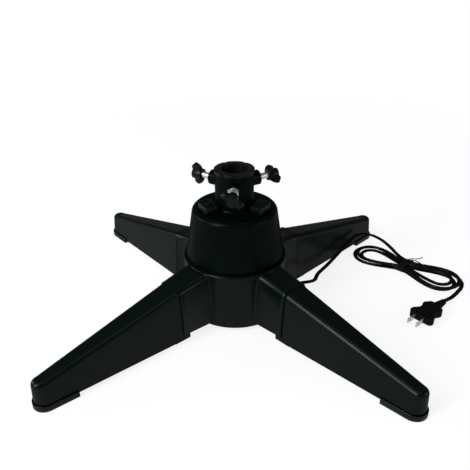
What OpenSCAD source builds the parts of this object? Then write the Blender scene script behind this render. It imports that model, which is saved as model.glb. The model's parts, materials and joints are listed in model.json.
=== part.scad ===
// Rotating stand: four plug-in legs round a drum hub, and a powered bell that turns the pole.
// Millimetres, Z up. The origin is on the floor, under the centre of the pole socket.

/* [Feet and legs] */
// Distance from the centre line to the outer end of a foot pad
foot_reach = 300; // [280:2:330]
// Height of a leg's rounded tip above the floor
leg_tip_z = 36; // [30:1:46]
// Radius of a leg's tip, seen from above, at its top
leg_tip_r = 10.5; // [9.5:0.25:12]
// Radius of a leg's tip, seen from above, at its bottom edge
leg_toe_r = 13.4; // [12.5:0.1:14]
// Rounding along the top edges at a leg's tip
leg_tip_edge = 6; // [4:0.5:7.5]
// Gap between the floor and the bottom edge of a leg
leg_floor_gap = 5; // [4:0.25:6]
// Wall thickness of a leg
leg_wall = 2.5; // [2:0.1:3]
// How far a leg's root is set in from the outside of its socket
leg_step = 0.8; // [0.4:0.1:1.2]
// Height of a foot pad
pad_h = 8.1; // [7:0.1:10]
// Length of a foot pad
pad_len = 48; // [40:1:60]
// Radius of a foot pad's outer end
pad_end_r = 15; // [14.6:0.1:16.5]
// Width of a foot pad at its inner end
pad_back_w = 33.6; // [33:0.2:38]

/* [Leg sockets] */
// Distance from the centre line to the mouth of a socket
socket_reach = 107.5; // [102:0.5:116]
// Width of a socket at its bottom edge
socket_w = 45; // [44:0.2:47]
// Width of a socket at its top
socket_top_w = 37; // [35:0.2:39]
// Height of a socket's top at the mouth
socket_top_z = 75; // [70:0.5:77]
// Height of a socket's bottom edge
socket_floor_z = 12; // [11:0.25:16]
// Slope of a socket's top, down towards the mouth, in degrees
socket_slope = 10; // [7:0.5:11]
// Spread of each of a socket's sides towards the hub, in degrees
socket_flare = 2.8; // [1.5:0.1:3.2]
// Rounding along a socket's top edges
socket_edge = 7; // [5:0.5:9]
// Wall thickness of a socket
socket_wall = 3; // [2.4:0.1:3.6]
// Width of the raised band round a socket's mouth
band_w = 4.5; // [3:0.5:6]
// How far that band stands proud
band_t = 0.6; // [0.4:0.1:1]
// Clearance all round a leg's tongue in its socket
tongue_gap = 0.4; // [0.3:0.05:0.6]
// Length of a leg clip's nose under the socket
clip_nose = 11; // [8:0.5:14]
// Length of a leg clip's heel inside the leg
clip_heel = 10; // [8:0.5:14]
// How far a leg clip stands below the leg's bottom edge
clip_drop = 1.8; // [1:0.1:2.5]

/* [Hub] */
// Outer radius of the hub's wall
hub_r = 67; // [66:0.25:70]
// Wall thickness of the hub
hub_wall = 3; // [2.4:0.1:3.2]
// Gap between the floor and the hub's bottom edge
hub_floor_gap = 6; // [4:0.25:7]
// Height of the top of the hub's rim
rim_z = 83; // [82:0.25:86]
// How far the rim stands out past the wall
rim_out = 1.2; // [0.6:0.1:2]
// Height of the rim's raised band
rim_h = 7; // [4:0.5:10]
// Height of the deck that carries the bearing
deck_z = 78; // [77:0.25:79]
// Thickness of the deck
deck_t = 2.5; // [2:0.1:3]
// Thickness of the bottom cover
cover_t = 3; // [2:0.1:3.5]
// Gap round the bottom cover
cover_gap = 0.3; // [0.2:0.05:0.5]
// Distance from the inside of the hub's wall in to each cover screw
cover_screw_inset = 7; // [6:0.25:10]

/* [Rotor] */
// How far the bell's lower edge is set in from the outside of the hub
bell_step = 3.2; // [2.8:0.1:4.5]
// Radius of the bell just below its shoulder
bell_top_r = 55.2; // [53:0.1:58]
// Height of the bell's flat top
bell_top_z = 150; // [146:0.5:160]
// Wall thickness of the bell
bell_wall = 2.6; // [2:0.1:3]
// Gap between the bell's side and the rim round it
bell_side_gap = 1.2; // [0.8:0.1:1.6]
// Gap between the deck and the bell's lower edge
bell_gap = 2.5; // [1.5:0.25:4]
// Rounding of the bell's lower edge
bell_edge = 6; // [4:0.5:7]
// Rounding of the bell's shoulder
shoulder_r = 7; // [5:0.5:8]
// Height of the top of the neck
neck_top_z = 196; // [190:1:206]
// Wall thickness of the neck
neck_wall = 4; // [3:0.25:5]

/* [Pole socket] */
// Diameter of the socket that takes the pole
pole_d = 33.5; // [31:0.25:34.5]
// Height of the socket's floor above the underside of the drive gear
pole_stop_h = 6; // [4:0.5:9]
// Width of the shelf round the socket's floor
pole_shelf = 2.5; // [1.5:0.25:4]
// Wall thickness of the pole tube
tube_wall = 3.75; // [3:0.25:4]
// Clearance between the pole tube and what it is fixed in
tube_gap = 0.1; // [0.05:0.01:0.2]
// Height of the lock ring on the neck
lock_ring_h = 4; // [3:0.5:6]
// Width of the lock ring's band
lock_ring_w = 5; // [4:0.25:6]

/* [Clamp screws] */
// Diameter of a clamp screw
screw_d = 8; // [7:0.25:9]
// Distance from the top of the neck down to the clamp screws
screw_drop = 14; // [12:0.5:16]
// How far a clamp screw can be turned in
screw_travel = 11; // [8:0.5:11]
// Gap between the pole socket's wall and a backed-out screw
screw_back = 0.6; // [0.4:0.1:1.5]
// Radial gap between a clamp screw and its nut
screw_fit = 0.08; // [0.05:0.01:0.1]
// Distance from the centre line to the outer face of a screw boss
boss_reach = 34; // [33:0.5:36]
// Radius of a screw boss
boss_r = 9.5; // [9:0.25:10.5]
// Width of a nut across its flats
nut_w = 13; // [12.5:0.25:13.5]
// Thickness of a nut
nut_h = 6.5; // [5.5:0.25:7]
// Length of a screw's wing knob along the screw
knob_len = 13; // [11:0.5:15]
// Span of a wing knob
knob_span = 30; // [26:1:32]
// Thickness of a wing
knob_t = 5.5; // [4.5:0.25:6]
// Gap left between a knob and its boss when the screw is turned right in
knob_stop = 3; // [2:0.5:5]

/* [Drive] */
// Module of the gear teeth
gear_module = 1; // [0.98:0.01:1.02]
// Teeth on the drive gear
gear_teeth = 60; // [58:2:62]
// Teeth on the pinion
pinion_teeth = 15; // [14:1:16]
// Face width of the drive gear
gear_w = 9; // [8:0.5:9.5]
// Play between the teeth
backlash = 0.3; // [0.2:0.05:0.4]
// Gap between the pole tube's flange and the deck
lift_gap = 0.5; // [0.3:0.1:0.8]
// Thickness of the pole tube's flange
flange_t = 4; // [3.5:0.25:4.5]
// Radius of the pole tube's flange
flange_r = 28; // [27.5:0.1:28.4]
// Gap between the motor and the inside of the hub's wall
motor_side_gap = 1.5; // [1:0.1:4]
// Height of the motor
motor_h = 19; // [17:0.5:20]
// Gap between the motor's top and the pinion
motor_gap = 4.5; // [4:0.25:6]
// Diameter of the motor's shaft
shaft_d = 5; // [4:0.25:6]
// Radial gap between the motor's shaft and its bearing
shaft_fit = 0.05; // [0.03:0.01:0.09]
// Distance from the motor's side out to the screw in each fixing ear
ear_reach = 5; // [4.5:0.1:6]
// Thickness of an ear
ear_t = 1.5; // [1.2:0.1:2]
// Radius of the heads of the screws that hold the gear
gear_screw_head_r = 2.4; // [2.2:0.1:2.6]

/* [Bearing] */
// Diameter of a ball
ball_d = 6.4; // [6:0.1:6.8]
// Number of balls
ball_count = 12; // [8:1:16]
// Radius of the circle that the balls run on
race_r = 44; // [42:0.25:46]
// Width of a race
race_w = 14; // [12:0.5:15]
// Thickness of a race
race_t = 3.6; // [3.4:0.1:4]
// Gap between the two races
race_gap = 3.6; // [3.2:0.1:4]
// Gap round a ball in its grooves and its pocket
ball_gap = 0.2; // [0.15:0.05:0.3]
// Thickness of the ball cage
cage_t = 1.6; // [1.2:0.1:2]
// Width of the ball cage
cage_w = 9.4; // [9:0.1:10.5]
// Radial running gap between the pole tube and its bush
bush_fit = 0.08; // [0.04:0.01:0.1]
// Wall thickness of that bush
bush_wall = 3; // [2.5:0.1:3.5]
// Thickness of the bush's collar
collar_t = 1.5; // [1:0.1:2]

/* [Slip rings] */
// Radius of the slip ring spindle
spindle_r = 8; // [7:0.1:8.4]
// Radius of a slip ring
ring_r = 10; // [9.2:0.1:10.4]
// Width of a slip ring
ring_w = 5; // [4:0.25:6]
// Distance between the two slip rings
ring_step = 10; // [9:0.25:11]
// Thickness of the spindle's flange under the drive gear
spindle_flange_t = 3.5; // [3:0.1:4]
// Radius of the journal at the spindle's foot
journal_r = 6; // [5:0.1:6.5]
// Radial running gap at that journal
journal_fit = 0.06; // [0.03:0.01:0.09]
// Wall thickness of the journal's bush
journal_bush = 3; // [2:0.1:3.5]
// Height of the journal's bush
journal_bush_h = 9; // [7:0.25:9.5]
// Thickness of a brush leaf
brush_t = 0.6; // [0.4:0.05:1]
// Gap between a brush and its ring
brush_gap = 0.3; // [0.25:0.05:0.4]

/* [Outlets] */
// Length of an outlet block round the bell
outlet_l = 26; // [24:0.5:28]
// Width of an outlet block across the bell's top
outlet_w = 17; // [15:0.25:17.5]
// Height of an outlet block
outlet_h = 11; // [9:0.5:13]
// Distance between an outlet's two slots
slot_step = 12.7; // [12:0.1:13.4]

/* [Cord and plug] */
// Width of the flat cord
cord_w = 5.9; // [5.4:0.1:5.9]
// Thickness of the flat cord
cord_t = 2.9; // [2.6:0.1:2.9]
// Length of the strain relief outside the hub
relief_len = 24; // [20:1:26]
// Width of the plug across its grips
plug_w = 34; // [31:0.5:36]
// Length of the plug's moulded body
plug_len = 36; // [32:1:40]
// Thickness of the plug's moulded body
plug_t = 16; // [14:0.5:18]
// Length of a plug blade outside the body
blade_len = 17.5; // [16:0.5:18.5]
// Width of a plug blade
blade_w = 6.3; // [6:0.1:6.5]
// Thickness of a plug blade
blade_t = 1.5; // [1.4:0.05:1.6]

/* [Hidden] */
$fn = 96;
eps = 0.01;
edge_steps = 10;
foot_steps = 32;

// Directions of the pieces round the centre line, in degrees
leg_fr_at = -45;
leg_fl_at = -135;
leg_br_at = 45;
leg_bl_at = 135;
leg_places = [leg_fr_at, leg_fl_at, leg_br_at, leg_bl_at];
screw_places = [30, 150, 270];
outlet_places = [90, 210, 330];
motor_at = 90;
brush_at = -90;
gland_at = 12;

// Colours
body_green = [0.08, 0.11, 0.10];
pad_black = [0.05, 0.06, 0.06];
steel = [0.70, 0.71, 0.72];
brass = [0.78, 0.62, 0.30];
nylon = [0.88, 0.87, 0.82];
cord_black = [0.07, 0.07, 0.07];

// Leg sockets and legs
body_gap = 0.3;
tongue_stop_gap = 1.5;
tip_lead = 2;
clip_side_gap = 1.2;
clip_nose_inset = 1.5;
draft = (socket_w - socket_top_w) / 2 / (socket_top_z - socket_floor_z);
root_bottom_z = leg_floor_gap;
root_top_z = socket_top_z - leg_step;
root_top_w = socket_top_w - 2 * leg_step;
root_w = root_top_w + 2 * draft * (root_top_z - root_bottom_z);
cavity_top_z = socket_top_z - socket_wall;
cavity_bottom_z = socket_floor_z + socket_wall;
cavity_top_w = socket_top_w - 2 * socket_wall;
cavity_edge = socket_edge - socket_wall;
tongue_start = hub_r + tongue_stop_gap;
toe_x = foot_reach - pad_end_r;
tip_x = toe_x + tip_lead;
pad_back_x = foot_reach - pad_len;
leg_at_pad_w = root_w + (2 * leg_toe_r - root_w) * (pad_back_x - socket_reach) / (toe_x - socket_reach);
clip_w = root_w - 2 * leg_wall - 2 * clip_side_gap;
clip_top_z = socket_floor_z - body_gap;

// Hub
hub_in_r = hub_r - hub_wall;
rim_r = hub_r + rim_out;
bell_r = hub_r - bell_step;
rim_in_r = bell_r + bell_side_gap;
cover_screw_r = hub_in_r - cover_screw_inset;
deck_low_z = deck_z - deck_t;
cover_z = hub_floor_gap + cover_t;
screw_shank_r = 1.6;
screw_head_r = 3.2;
screw_boss_r = 4.2;
screw_pilot_r = screw_shank_r + 0.05;
screw_hole_gap = 0.25;
screw_sink = cover_t * 0.45;
vent_step = 7;
vent_w = 3;
vent_l = 26;

// Pole tube and drive
pole_r = pole_d / 2;
tube_r = pole_r + tube_wall;
lock_ring_z = neck_top_z;
tube_top_z = lock_ring_z + lock_ring_h;
flange_top_z = deck_low_z - lift_gap;
flange_z = flange_top_z - flange_t;
gear_z = flange_z - gear_w;
pole_stop_z = gear_z + pole_stop_h;
gear_bore_r = tube_r + tube_gap;
gear_pitch_r = gear_module * gear_teeth / 2;
pinion_pitch_r = gear_module * pinion_teeth / 2;
gear_centres = gear_pitch_r + pinion_pitch_r;
pinion_over = 0.5;
pinion_z = gear_z - pinion_over;
pinion_w = gear_w + 2 * pinion_over;
motor_top_z = pinion_z - motor_gap;
motor_z = motor_top_z - motor_h;
motor_r = hub_in_r - gear_centres - motor_side_gap;
ear_span = 2 * (motor_r + ear_reach);
gear_screw_sink = 1.8;
spindle_flange_r = flange_r - 1;
gear_screw_seat_r = gear_screw_head_r + 0.4;
gear_screw_r = spindle_flange_r - 0.5 - gear_screw_seat_r;

// Bearing
bush_in_r = tube_r + bush_fit;
bush_r = bush_in_r + bush_wall;
collar_w = 3.5;
collar_r = bush_r + collar_w;
race_low_z = deck_z;
race_face_z = race_low_z + race_t;
ball_z = race_face_z + race_gap / 2;
upper_race_z = race_face_z + race_gap;
ball_r = ball_d / 2;
groove_r = ball_r + ball_gap;
race_in_r = race_r - race_w / 2;
race_out_r = race_r + race_w / 2;

// Rotor bell
bell_low_z = deck_z + bell_gap;
skirt_z = upper_race_z + race_t;
hub_tube_r = tube_r + tube_gap;
neck_r = hub_tube_r + neck_wall;
shoulder_z = bell_top_z - shoulder_r;
skirt_w = 4;
rib_t = 2;
rib_h = 28;
bell_lean = atan((bell_r - bell_top_r) / (shoulder_z - bell_low_z - bell_edge));

// Slip rings
spindle_flange_z = gear_z - spindle_flange_t;
spindle_plug_r = pole_r - pole_shelf - tube_gap;
ring_drop = 5.5;
ring_top_z = spindle_flange_z - ring_drop;
ring_low_z = ring_top_z - ring_step;
journal_end_gap = 1;
journal_z = cover_z + journal_end_gap;
journal_top_z = cover_z + journal_bush_h + 2 * journal_end_gap;
holder_r = 26;
holder_t = 6;
holder_w = 14;
holder_base_w = 30;
holder_base_t = 4;

// Clamp screws
screw_z = neck_top_z - screw_drop;
stud_tip_r = pole_r + screw_back;
stud_r = screw_d / 2;
knob_in_r = boss_reach + screw_travel + knob_stop;
knob_out_r = knob_in_r + knob_len;
nut_in_r = boss_reach - nut_h;
knob_cap = 3;

// Outlets
neck_fillet = 4;
outlet_r = neck_r + neck_fillet + 0.3 + outlet_w / 2;
outlet_peg_r = 5.5;
slot_w = 2.6;
slot_l = 8;

// Plug, cord and hank
plug_grip = 5.5;
blade_step = 12.7;
plug_at = [286, 0];
plug_turn = -137;
plug_lift = plug_t / 2;
plug_relief = 22;
blade_root = 6;
relief_ribs = 4;
gland_z = 22;
gland_neck_r = 6;
gland_end = [(hub_r + relief_len) * cos(gland_at), (hub_r + relief_len) * sin(gland_at), gland_z];
cord_route = [
    [95.5, 20.3, 22.2], [102, 22.8, 21.8], [107.6, 27.2, 20.6], [111.4, 33.4, 18.8],
    [113.6, 41, 16.6], [115.4, 49.5, 14.6], [118.2, 58.5, 13], [122.6, 67.5, 12],
    [128.4, 77, 11.6], [134.6, 86.5, 11.8], [141, 96, 13], [147.8, 105.5, 15],
    [155, 115, 17.8], [162.6, 124.5, 20.8], [170.6, 134.2, 23.6]
];
lead_route = [[312.2, 30.4, 1.5], [306.2, 23.4, 1.7], [300.2, 16.4, 2.9], [294.8, 10, 5], [290.2, 4.7, 7]];
hank_at = [253, 98];
hank_turn = -40;
hank_loops = 3.5;
hank_run = 56;
hank_end_r = 14;
hank_waist = 2.2;
cord_step = 10.5;
waist_share = 0.7;
layer_rise = 4.4;
climb_share = 0.14;
hank_stand = 20;
stand_share = 0.24;
tie_lift = 1.1;
tie_w = 3;
tie_t = 0.8;

// ---- shared shapes ----

// Points along an arc, from one angle to another
function arc(centre, r, from, to, steps) =
    [for (k = [0:steps]) let (a = from + (to - from) * k / steps) centre + r * [cos(a), sin(a)]];

// Outline of a socket or leg, seen along it: upright sides that lean in, and rounded top edges
module beam_outline(top_w, top_z, bottom_z, edge) {
    lean = atan(draft);
    x_c = top_w / 2 - edge * (1 - sin(lean)) / cos(lean);
    x_low = top_w / 2 + draft * (top_z - bottom_z);
    polygon(concat(
        [[-x_low, bottom_z], [x_low, bottom_z]],
        arc([x_c, top_z - edge], edge, lean, 90, edge_steps),
        arc([-x_c, top_z - edge], edge, 90, 180 - lean, edge_steps)
    ));
}

// That outline pulled out along X
module beam(x0, x1, top_w, top_z, bottom_z, edge) {
    translate([x0, 0, 0])
        rotate([90, 0, 90])
            linear_extrude(x1 - x0)
                beam_outline(top_w, top_z, bottom_z, edge);
}

// Outline of a foot seen from above: a round end and straight sides that spread to the back
module foot_outline(back_x, back_w, end_x, end_r) {
    far = norm([end_x - back_x, back_w / 2]);
    turn = acos(end_r / far) - atan2(back_w / 2, back_x - end_x);
    polygon(concat(
        [[back_x, back_w / 2], [back_x, -back_w / 2]],
        arc([end_x, 0], end_r, turn, -turn, foot_steps)
    ));
}

module ring(r_out, r_in, z0, z1) {
    translate([0, 0, z0])
        difference() {
            cylinder(r = r_out, h = z1 - z0);
            translate([0, 0, -1])
                cylinder(r = r_in, h = z1 - z0 + 2);
        }
}

// Pan-head screw, head down, its head's bearing face at z = 0
module pan_screw(length, shank_r = screw_shank_r, head_r = screw_head_r) {
    head_h = head_r * 0.65;
    cylinder(r = shank_r, h = length, $fn = 32);
    difference() {
        translate([0, 0, -head_h])
            cylinder(r1 = head_r * 0.8, r2 = head_r, h = head_h, $fn = 32);
        for (a = [0, 90])
            rotate([0, 0, a])
                translate([-head_r * 0.6, -head_r * 0.13, -head_h - 1])
                    cube([head_r * 1.2, head_r * 0.26, 1 + head_h * 0.5]);
    }
}

// ---- hub ----

// Two crossed beams give a socket sides that spread towards the hub
module socket_block() {
    inside_len = socket_reach - hub_in_r * 0.6;
    reach = inside_len / cos(socket_slope) + socket_top_z * sin(socket_slope);
    intersection() {
        for (s = [-1, 1])
            translate([socket_reach, 0, socket_top_z])
                rotate([0, socket_slope, s * socket_flare])
                    translate([0, 0, -socket_top_z])
                        beam(-reach, socket_top_z * sin(socket_slope) + 1, socket_top_w,
                             socket_top_z, -10, socket_edge);
        translate([socket_reach - inside_len, -socket_w, socket_floor_z])
            cube([inside_len, 2 * socket_w, rim_z]);
    }
    beam(socket_reach - band_w, socket_reach, socket_top_w + 2 * band_t, socket_top_z + band_t,
         socket_floor_z, socket_edge + band_t);
}

module socket_cavity() {
    beam(hub_r + 0.5, socket_reach + 1, cavity_top_w, cavity_top_z, cavity_bottom_z, cavity_edge);
}

module hub_wall_profile() {
    polygon([
        [hub_in_r, hub_floor_gap], [hub_r - 0.8, hub_floor_gap], [hub_r, hub_floor_gap + 0.8],
        [hub_r, rim_z - rim_h], [rim_r, rim_z - rim_h + rim_out], [rim_r, rim_z - 0.9],
        [rim_r - 0.9, rim_z], [rim_in_r, rim_z], [rim_in_r, deck_z],
        [bush_r + 0.05, deck_z], [bush_r + 0.05, deck_low_z], [hub_in_r, deck_low_z]
    ]);
}

module cover_screw_places() {
    for (a = leg_places)
        rotate([0, 0, a])
            translate([cover_screw_r, 0, 0])
                children();
}

module motor_ear_places() {
    rotate([0, 0, motor_at])
        for (s = [-1, 1])
            translate([gear_centres, s * ear_span / 2, 0])
                children();
}

module holder_screw_places() {
    rotate([0, 0, brush_at])
        for (s = [-1, 1])
            translate([holder_r + 3, s * (holder_base_w / 2 - 4.5), 0])
                children();
}

module hub_housing() {
    color(body_green)
        difference() {
            union() {
                rotate_extrude()
                    hub_wall_profile();
                difference() {
                    for (a = leg_places)
                        rotate([0, 0, a])
                            socket_block();
                    cylinder(r = hub_r - hub_wall / 2, h = rim_z * 2);
                }
                cover_screw_places()
                    translate([0, 0, cover_z])
                        cylinder(r = screw_boss_r, h = deck_low_z - cover_z + eps, $fn = 48);
                motor_ear_places()
                    translate([0, 0, motor_top_z])
                        cylinder(r = screw_boss_r, h = deck_low_z - motor_top_z + eps, $fn = 48);
            }
            for (a = leg_places)
                rotate([0, 0, a])
                    socket_cavity();
            cover_screw_places()
                translate([0, 0, cover_z - 1])
                    cylinder(r = screw_pilot_r, h = 14, $fn = 32);
            motor_ear_places()
                translate([0, 0, motor_top_z - 1])
                    cylinder(r = screw_pilot_r, h = 12, $fn = 32);
            rotate([0, 0, gland_at])
                translate([hub_in_r - 4, 0, gland_z])
                    rotate([0, 90, 0])
                        cylinder(r = gland_neck_r + 0.1, h = hub_wall + 8, $fn = 48);
        }
}

// Hole and sunk seat for a pan-head screw that comes up through the bottom cover
module sunk_hole() {
    translate([0, 0, hub_floor_gap - 1]) {
        cylinder(r = screw_shank_r + screw_hole_gap, h = cover_t + 2, $fn = 32);
        cylinder(r = screw_head_r + 0.4, h = 1 + screw_sink, $fn = 32);
    }
}

module bottom_cover() {
    color(pad_black)
        difference() {
            union() {
                translate([0, 0, hub_floor_gap])
                    cylinder(r = hub_in_r - cover_gap, h = cover_t);
                translate([0, 0, hub_floor_gap])
                    cylinder(r = journal_r + journal_fit + journal_bush + 3.2,
                             h = cover_t + journal_bush_h - 1);
            }
            translate([0, 0, cover_z])
                cylinder(r = journal_r + journal_fit + journal_bush + 0.05, h = journal_bush_h + 1);
            cover_screw_places()
                sunk_hole();
            holder_screw_places()
                sunk_hole();
            for (k = [-2:2])
                translate([vent_l / 2 + 1, k * vent_step - vent_w / 2, hub_floor_gap - 1])
                    cube([vent_l, vent_w, cover_t + 2]);
        }
}

module cover_screws() {
    color(steel)
        cover_screw_places()
            translate([0, 0, hub_floor_gap + screw_sink])
                pan_screw(cover_t - screw_sink + 12);
}

module deck_bush() {
    color(nylon) {
        ring(bush_r, bush_in_r, deck_low_z, deck_z + collar_t);
        ring(collar_r, bush_r - 0.5, deck_z, deck_z + collar_t);
    }
}

module race(z0) {
    difference() {
        ring(race_out_r, race_in_r, z0, z0 + race_t);
        translate([0, 0, ball_z])
            rotate_extrude()
                translate([race_r, 0])
                    circle(r = groove_r, $fn = 48);
    }
}

module lower_race() {
    color(steel)
        race(race_low_z);
}

module upper_race() {
    color(steel)
        race(upper_race_z);
}

module ball_places() {
    for (k = [0:ball_count - 1])
        rotate([0, 0, 360 * k / ball_count])
            translate([race_r, 0, ball_z])
                children();
}

module ball_cage() {
    color(nylon)
        difference() {
            ring(race_r + cage_w / 2, race_r - cage_w / 2, ball_z - cage_t / 2, ball_z + cage_t / 2);
            ball_places()
                translate([0, 0, -cage_t])
                    cylinder(r = groove_r + 0.05, h = 2 * cage_t, $fn = 48);
        }
}

module bearing_balls() {
    color(steel)
        ball_places()
            sphere(r = ball_r, $fn = 48);
}

module spindle_bush() {
    color(brass)
        ring(journal_r + journal_fit + journal_bush, journal_r + journal_fit, cover_z,
             cover_z + journal_bush_h);
}

// ---- motor, gears and slip rings ----

module motor() {
    color(steel)
        rotate([0, 0, motor_at])
            translate([gear_centres, 0, 0])
                difference() {
                    union() {
                        translate([0, 0, motor_z])
                            cylinder(r = motor_r, h = motor_h - ear_t);
                        translate([0, 0, motor_top_z - ear_t])
                            cylinder(r = motor_r - 0.6, h = ear_t);
                        for (s = [-1, 1])
                            translate([0, s * ear_span / 2, motor_top_z - ear_t])
                                cylinder(r = screw_boss_r, h = ear_t, $fn = 48);
                        translate([-screw_boss_r, -ear_span / 2, motor_top_z - ear_t])
                            cube([2 * screw_boss_r, ear_span, ear_t]);
                        translate([0, 0, motor_top_z - eps])
                            cylinder(r = shaft_d, h = 2, $fn = 48);
                    }
                    translate([0, 0, motor_top_z - 12])
                        cylinder(r = shaft_d / 2 + shaft_fit, h = 20, $fn = 48);
                    for (s = [-1, 1])
                        translate([0, s * ear_span / 2, motor_top_z - ear_t - 1])
                            cylinder(r = screw_shank_r + screw_hole_gap, h = ear_t + 2, $fn = 32);
                }
}

module motor_screws() {
    color(steel)
        motor_ear_places()
            translate([0, 0, motor_top_z - ear_t])
                pan_screw(ear_t + 10);
}

module motor_shaft() {
    color(steel)
        rotate([0, 0, motor_at])
            translate([gear_centres, 0, motor_top_z - 11.5])
                cylinder(r = shaft_d / 2, h = pinion_z + pinion_w - motor_top_z + 11.5, $fn = 48);
}

// Involute teeth: a point on a flank at roll angle t, in degrees, from base radius b
function flank(b, t) = [b * (cos(t) + t * PI / 180 * sin(t)), b * (sin(t) - t * PI / 180 * cos(t))];
function turned(p, a) = [p[0] * cos(a) - p[1] * sin(a), p[0] * sin(a) + p[1] * cos(a)];

module gear_outline(teeth, turn) {
    pitch_r = gear_module * teeth / 2;
    base_r = pitch_r * cos(20);
    tip_r = pitch_r + gear_module;
    root_r = pitch_r - 1.25 * gear_module;
    steps = 4;
    roll_tip = sqrt(pow(tip_r / base_r, 2) - 1) * 180 / PI;
    roll_root = root_r > base_r ? sqrt(pow(root_r / base_r, 2) - 1) * 180 / PI : 0;
    roll_pitch = tan(20) * 180 / PI;
    at_pitch = roll_pitch - 20;
    half = (PI * gear_module / 2 - backlash / 2) / 2 / pitch_r * 180 / PI;
    right = [for (k = [0:steps])
        turned(flank(base_r, roll_root + (roll_tip - roll_root) * k / steps), -half - at_pitch)];
    foot = turned([min(root_r, base_r), 0], -half - at_pitch);
    side = concat([foot], right);
    mirrored = [for (k = [len(side) - 1:-1:0]) [side[k][0], -side[k][1]]];
    tooth = concat(side, mirrored);
    polygon([for (n = [0:teeth - 1], p = tooth) turned(p, turn + 360 * n / teeth)]);
}

module drive_gear() {
    color(nylon)
        translate([0, 0, gear_z])
            difference() {
                linear_extrude(gear_w)
                    gear_outline(gear_teeth, motor_at);
                translate([0, 0, -1])
                    cylinder(r = gear_bore_r, h = gear_w + 2);
                for (a = screw_places)
                    rotate([0, 0, a])
                        translate([gear_screw_r, 0, -1])
                            cylinder(r = screw_pilot_r, h = gear_w + 2, $fn = 32);
            }
}

module pinion() {
    color(brass)
        rotate([0, 0, motor_at])
            translate([gear_centres, 0, pinion_z])
                difference() {
                    linear_extrude(pinion_w)
                        gear_outline(pinion_teeth, 180 + 180 / pinion_teeth);
                    translate([0, 0, -1])
                        cylinder(r = shaft_d / 2 + 0.02, h = pinion_w + 2, $fn = 48);
                }
}

module gear_screws() {
    color(steel)
        for (a = screw_places)
            rotate([0, 0, a])
                translate([gear_screw_r, 0, spindle_flange_z + gear_screw_sink])
                    pan_screw(spindle_flange_t - gear_screw_sink + gear_w + flange_t - 1,
                              head_r = gear_screw_head_r);
}

module slip_ring_core() {
    color(pad_black)
        difference() {
            union() {
                translate([0, 0, gear_z - eps])
                    cylinder(r = spindle_plug_r, h = pole_stop_z - gear_z + eps);
                translate([0, 0, spindle_flange_z])
                    cylinder(r = spindle_flange_r, h = spindle_flange_t);
                translate([0, 0, journal_top_z])
                    cylinder(r = spindle_r, h = spindle_flange_z - journal_top_z + eps);
                translate([0, 0, journal_z])
                    cylinder(r = journal_r, h = journal_top_z - journal_z + eps);
            }
            for (a = screw_places)
                rotate([0, 0, a])
                    translate([gear_screw_r, 0, spindle_flange_z - 1]) {
                        cylinder(r = screw_pilot_r, h = spindle_flange_t + 2, $fn = 32);
                        cylinder(r = gear_screw_seat_r, h = 1 + gear_screw_sink, $fn = 32);
                    }
        }
}

module slip_rings() {
    color(brass)
        for (z = [ring_low_z, ring_top_z])
            ring(ring_r, spindle_r + 0.05, z - ring_w / 2, z + ring_w / 2);
}

module brush_holder() {
    color(pad_black)
        rotate([0, 0, brush_at])
            difference() {
                union() {
                    translate([holder_r - 2, -holder_base_w / 2, cover_z])
                        cube([10, holder_base_w, holder_base_t]);
                    translate([holder_r, -holder_w / 2, cover_z])
                        cube([holder_t, holder_w, ring_top_z + 5 - cover_z]);
                }
                for (z = [ring_low_z, ring_top_z])
                    translate([holder_r - 1, -holder_w / 2 + 2, z - brush_t / 2 - 0.05])
                        cube([holder_t + 2, holder_w - 4, brush_t + 0.1]);
                for (s = [-1, 1])
                    translate([holder_r + 3, s * (holder_base_w / 2 - 4.5), cover_z - 1])
                        cylinder(r = screw_pilot_r, h = holder_base_t + 2, $fn = 32);
            }
}

module holder_screws() {
    color(steel)
        holder_screw_places()
            translate([0, 0, hub_floor_gap + screw_sink])
                pan_screw(cover_t - screw_sink + holder_base_t - 0.5);
}

module brushes() {
    reach = ring_r + brush_gap;
    color(brass)
        rotate([0, 0, brush_at])
            for (z = [ring_low_z, ring_top_z]) {
                translate([reach + brush_t / 2, -holder_w / 2 + 2.5, z - brush_t / 2])
                    cube([holder_r + holder_t - reach + 2, holder_w - 5, brush_t]);
                translate([reach, -holder_w / 2 + 2.5, z - 2])
                    cube([brush_t, holder_w - 5, 4]);
            }
}

// ---- rotor ----

// Half outline of the bell, seen from the side, set in by an amount
module bell_outline(inset) {
    low_r = bell_edge - inset;
    top_r = shoulder_r - inset;
    low_x = bell_r - bell_edge / cos(bell_lean);
    low_zc = bell_low_z + bell_edge;
    top_x = bell_top_r - shoulder_r / cos(bell_lean);
    polygon([
        [0, bell_low_z + inset], [low_x, bell_low_z + inset],
        [low_x + low_r * cos(bell_lean), low_zc + low_r * sin(bell_lean)],
        [top_x + top_r * cos(bell_lean), shoulder_z + top_r * sin(bell_lean)],
        [top_x, bell_top_z - inset], [0, bell_top_z - inset]
    ]);
    translate([low_x, low_zc])
        circle(r = low_r);
    translate([top_x, shoulder_z])
        circle(r = top_r);
}

module bell_section() {
    lip_r = bell_r - bell_edge / cos(bell_lean) - 2;
    boss_low_z = deck_z + collar_t + 2;
    difference() {
        bell_outline(0);
        bell_outline(bell_wall);
        translate([0, bell_low_z - 1])
            square([lip_r, bell_wall + 2]);
        square([hub_tube_r, bell_top_z + 1]);
    }
    translate([hub_tube_r, boss_low_z])
        square([neck_wall, neck_top_z - boss_low_z]);
    difference() {
        translate([neck_r - eps, bell_top_z - eps])
            square([neck_fillet, neck_fillet]);
        translate([neck_r + neck_fillet, bell_top_z + neck_fillet])
            circle(r = neck_fillet, $fn = 48);
    }
    translate([race_r - skirt_w / 2, skirt_z])
        square([skirt_w, bell_top_z - bell_wall / 2 - skirt_z]);
    translate([race_in_r, skirt_z])
        square([race_w, 3]);
}

module screw_places() {
    for (a = screw_places)
        rotate([0, 0, a])
            children();
}

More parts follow.
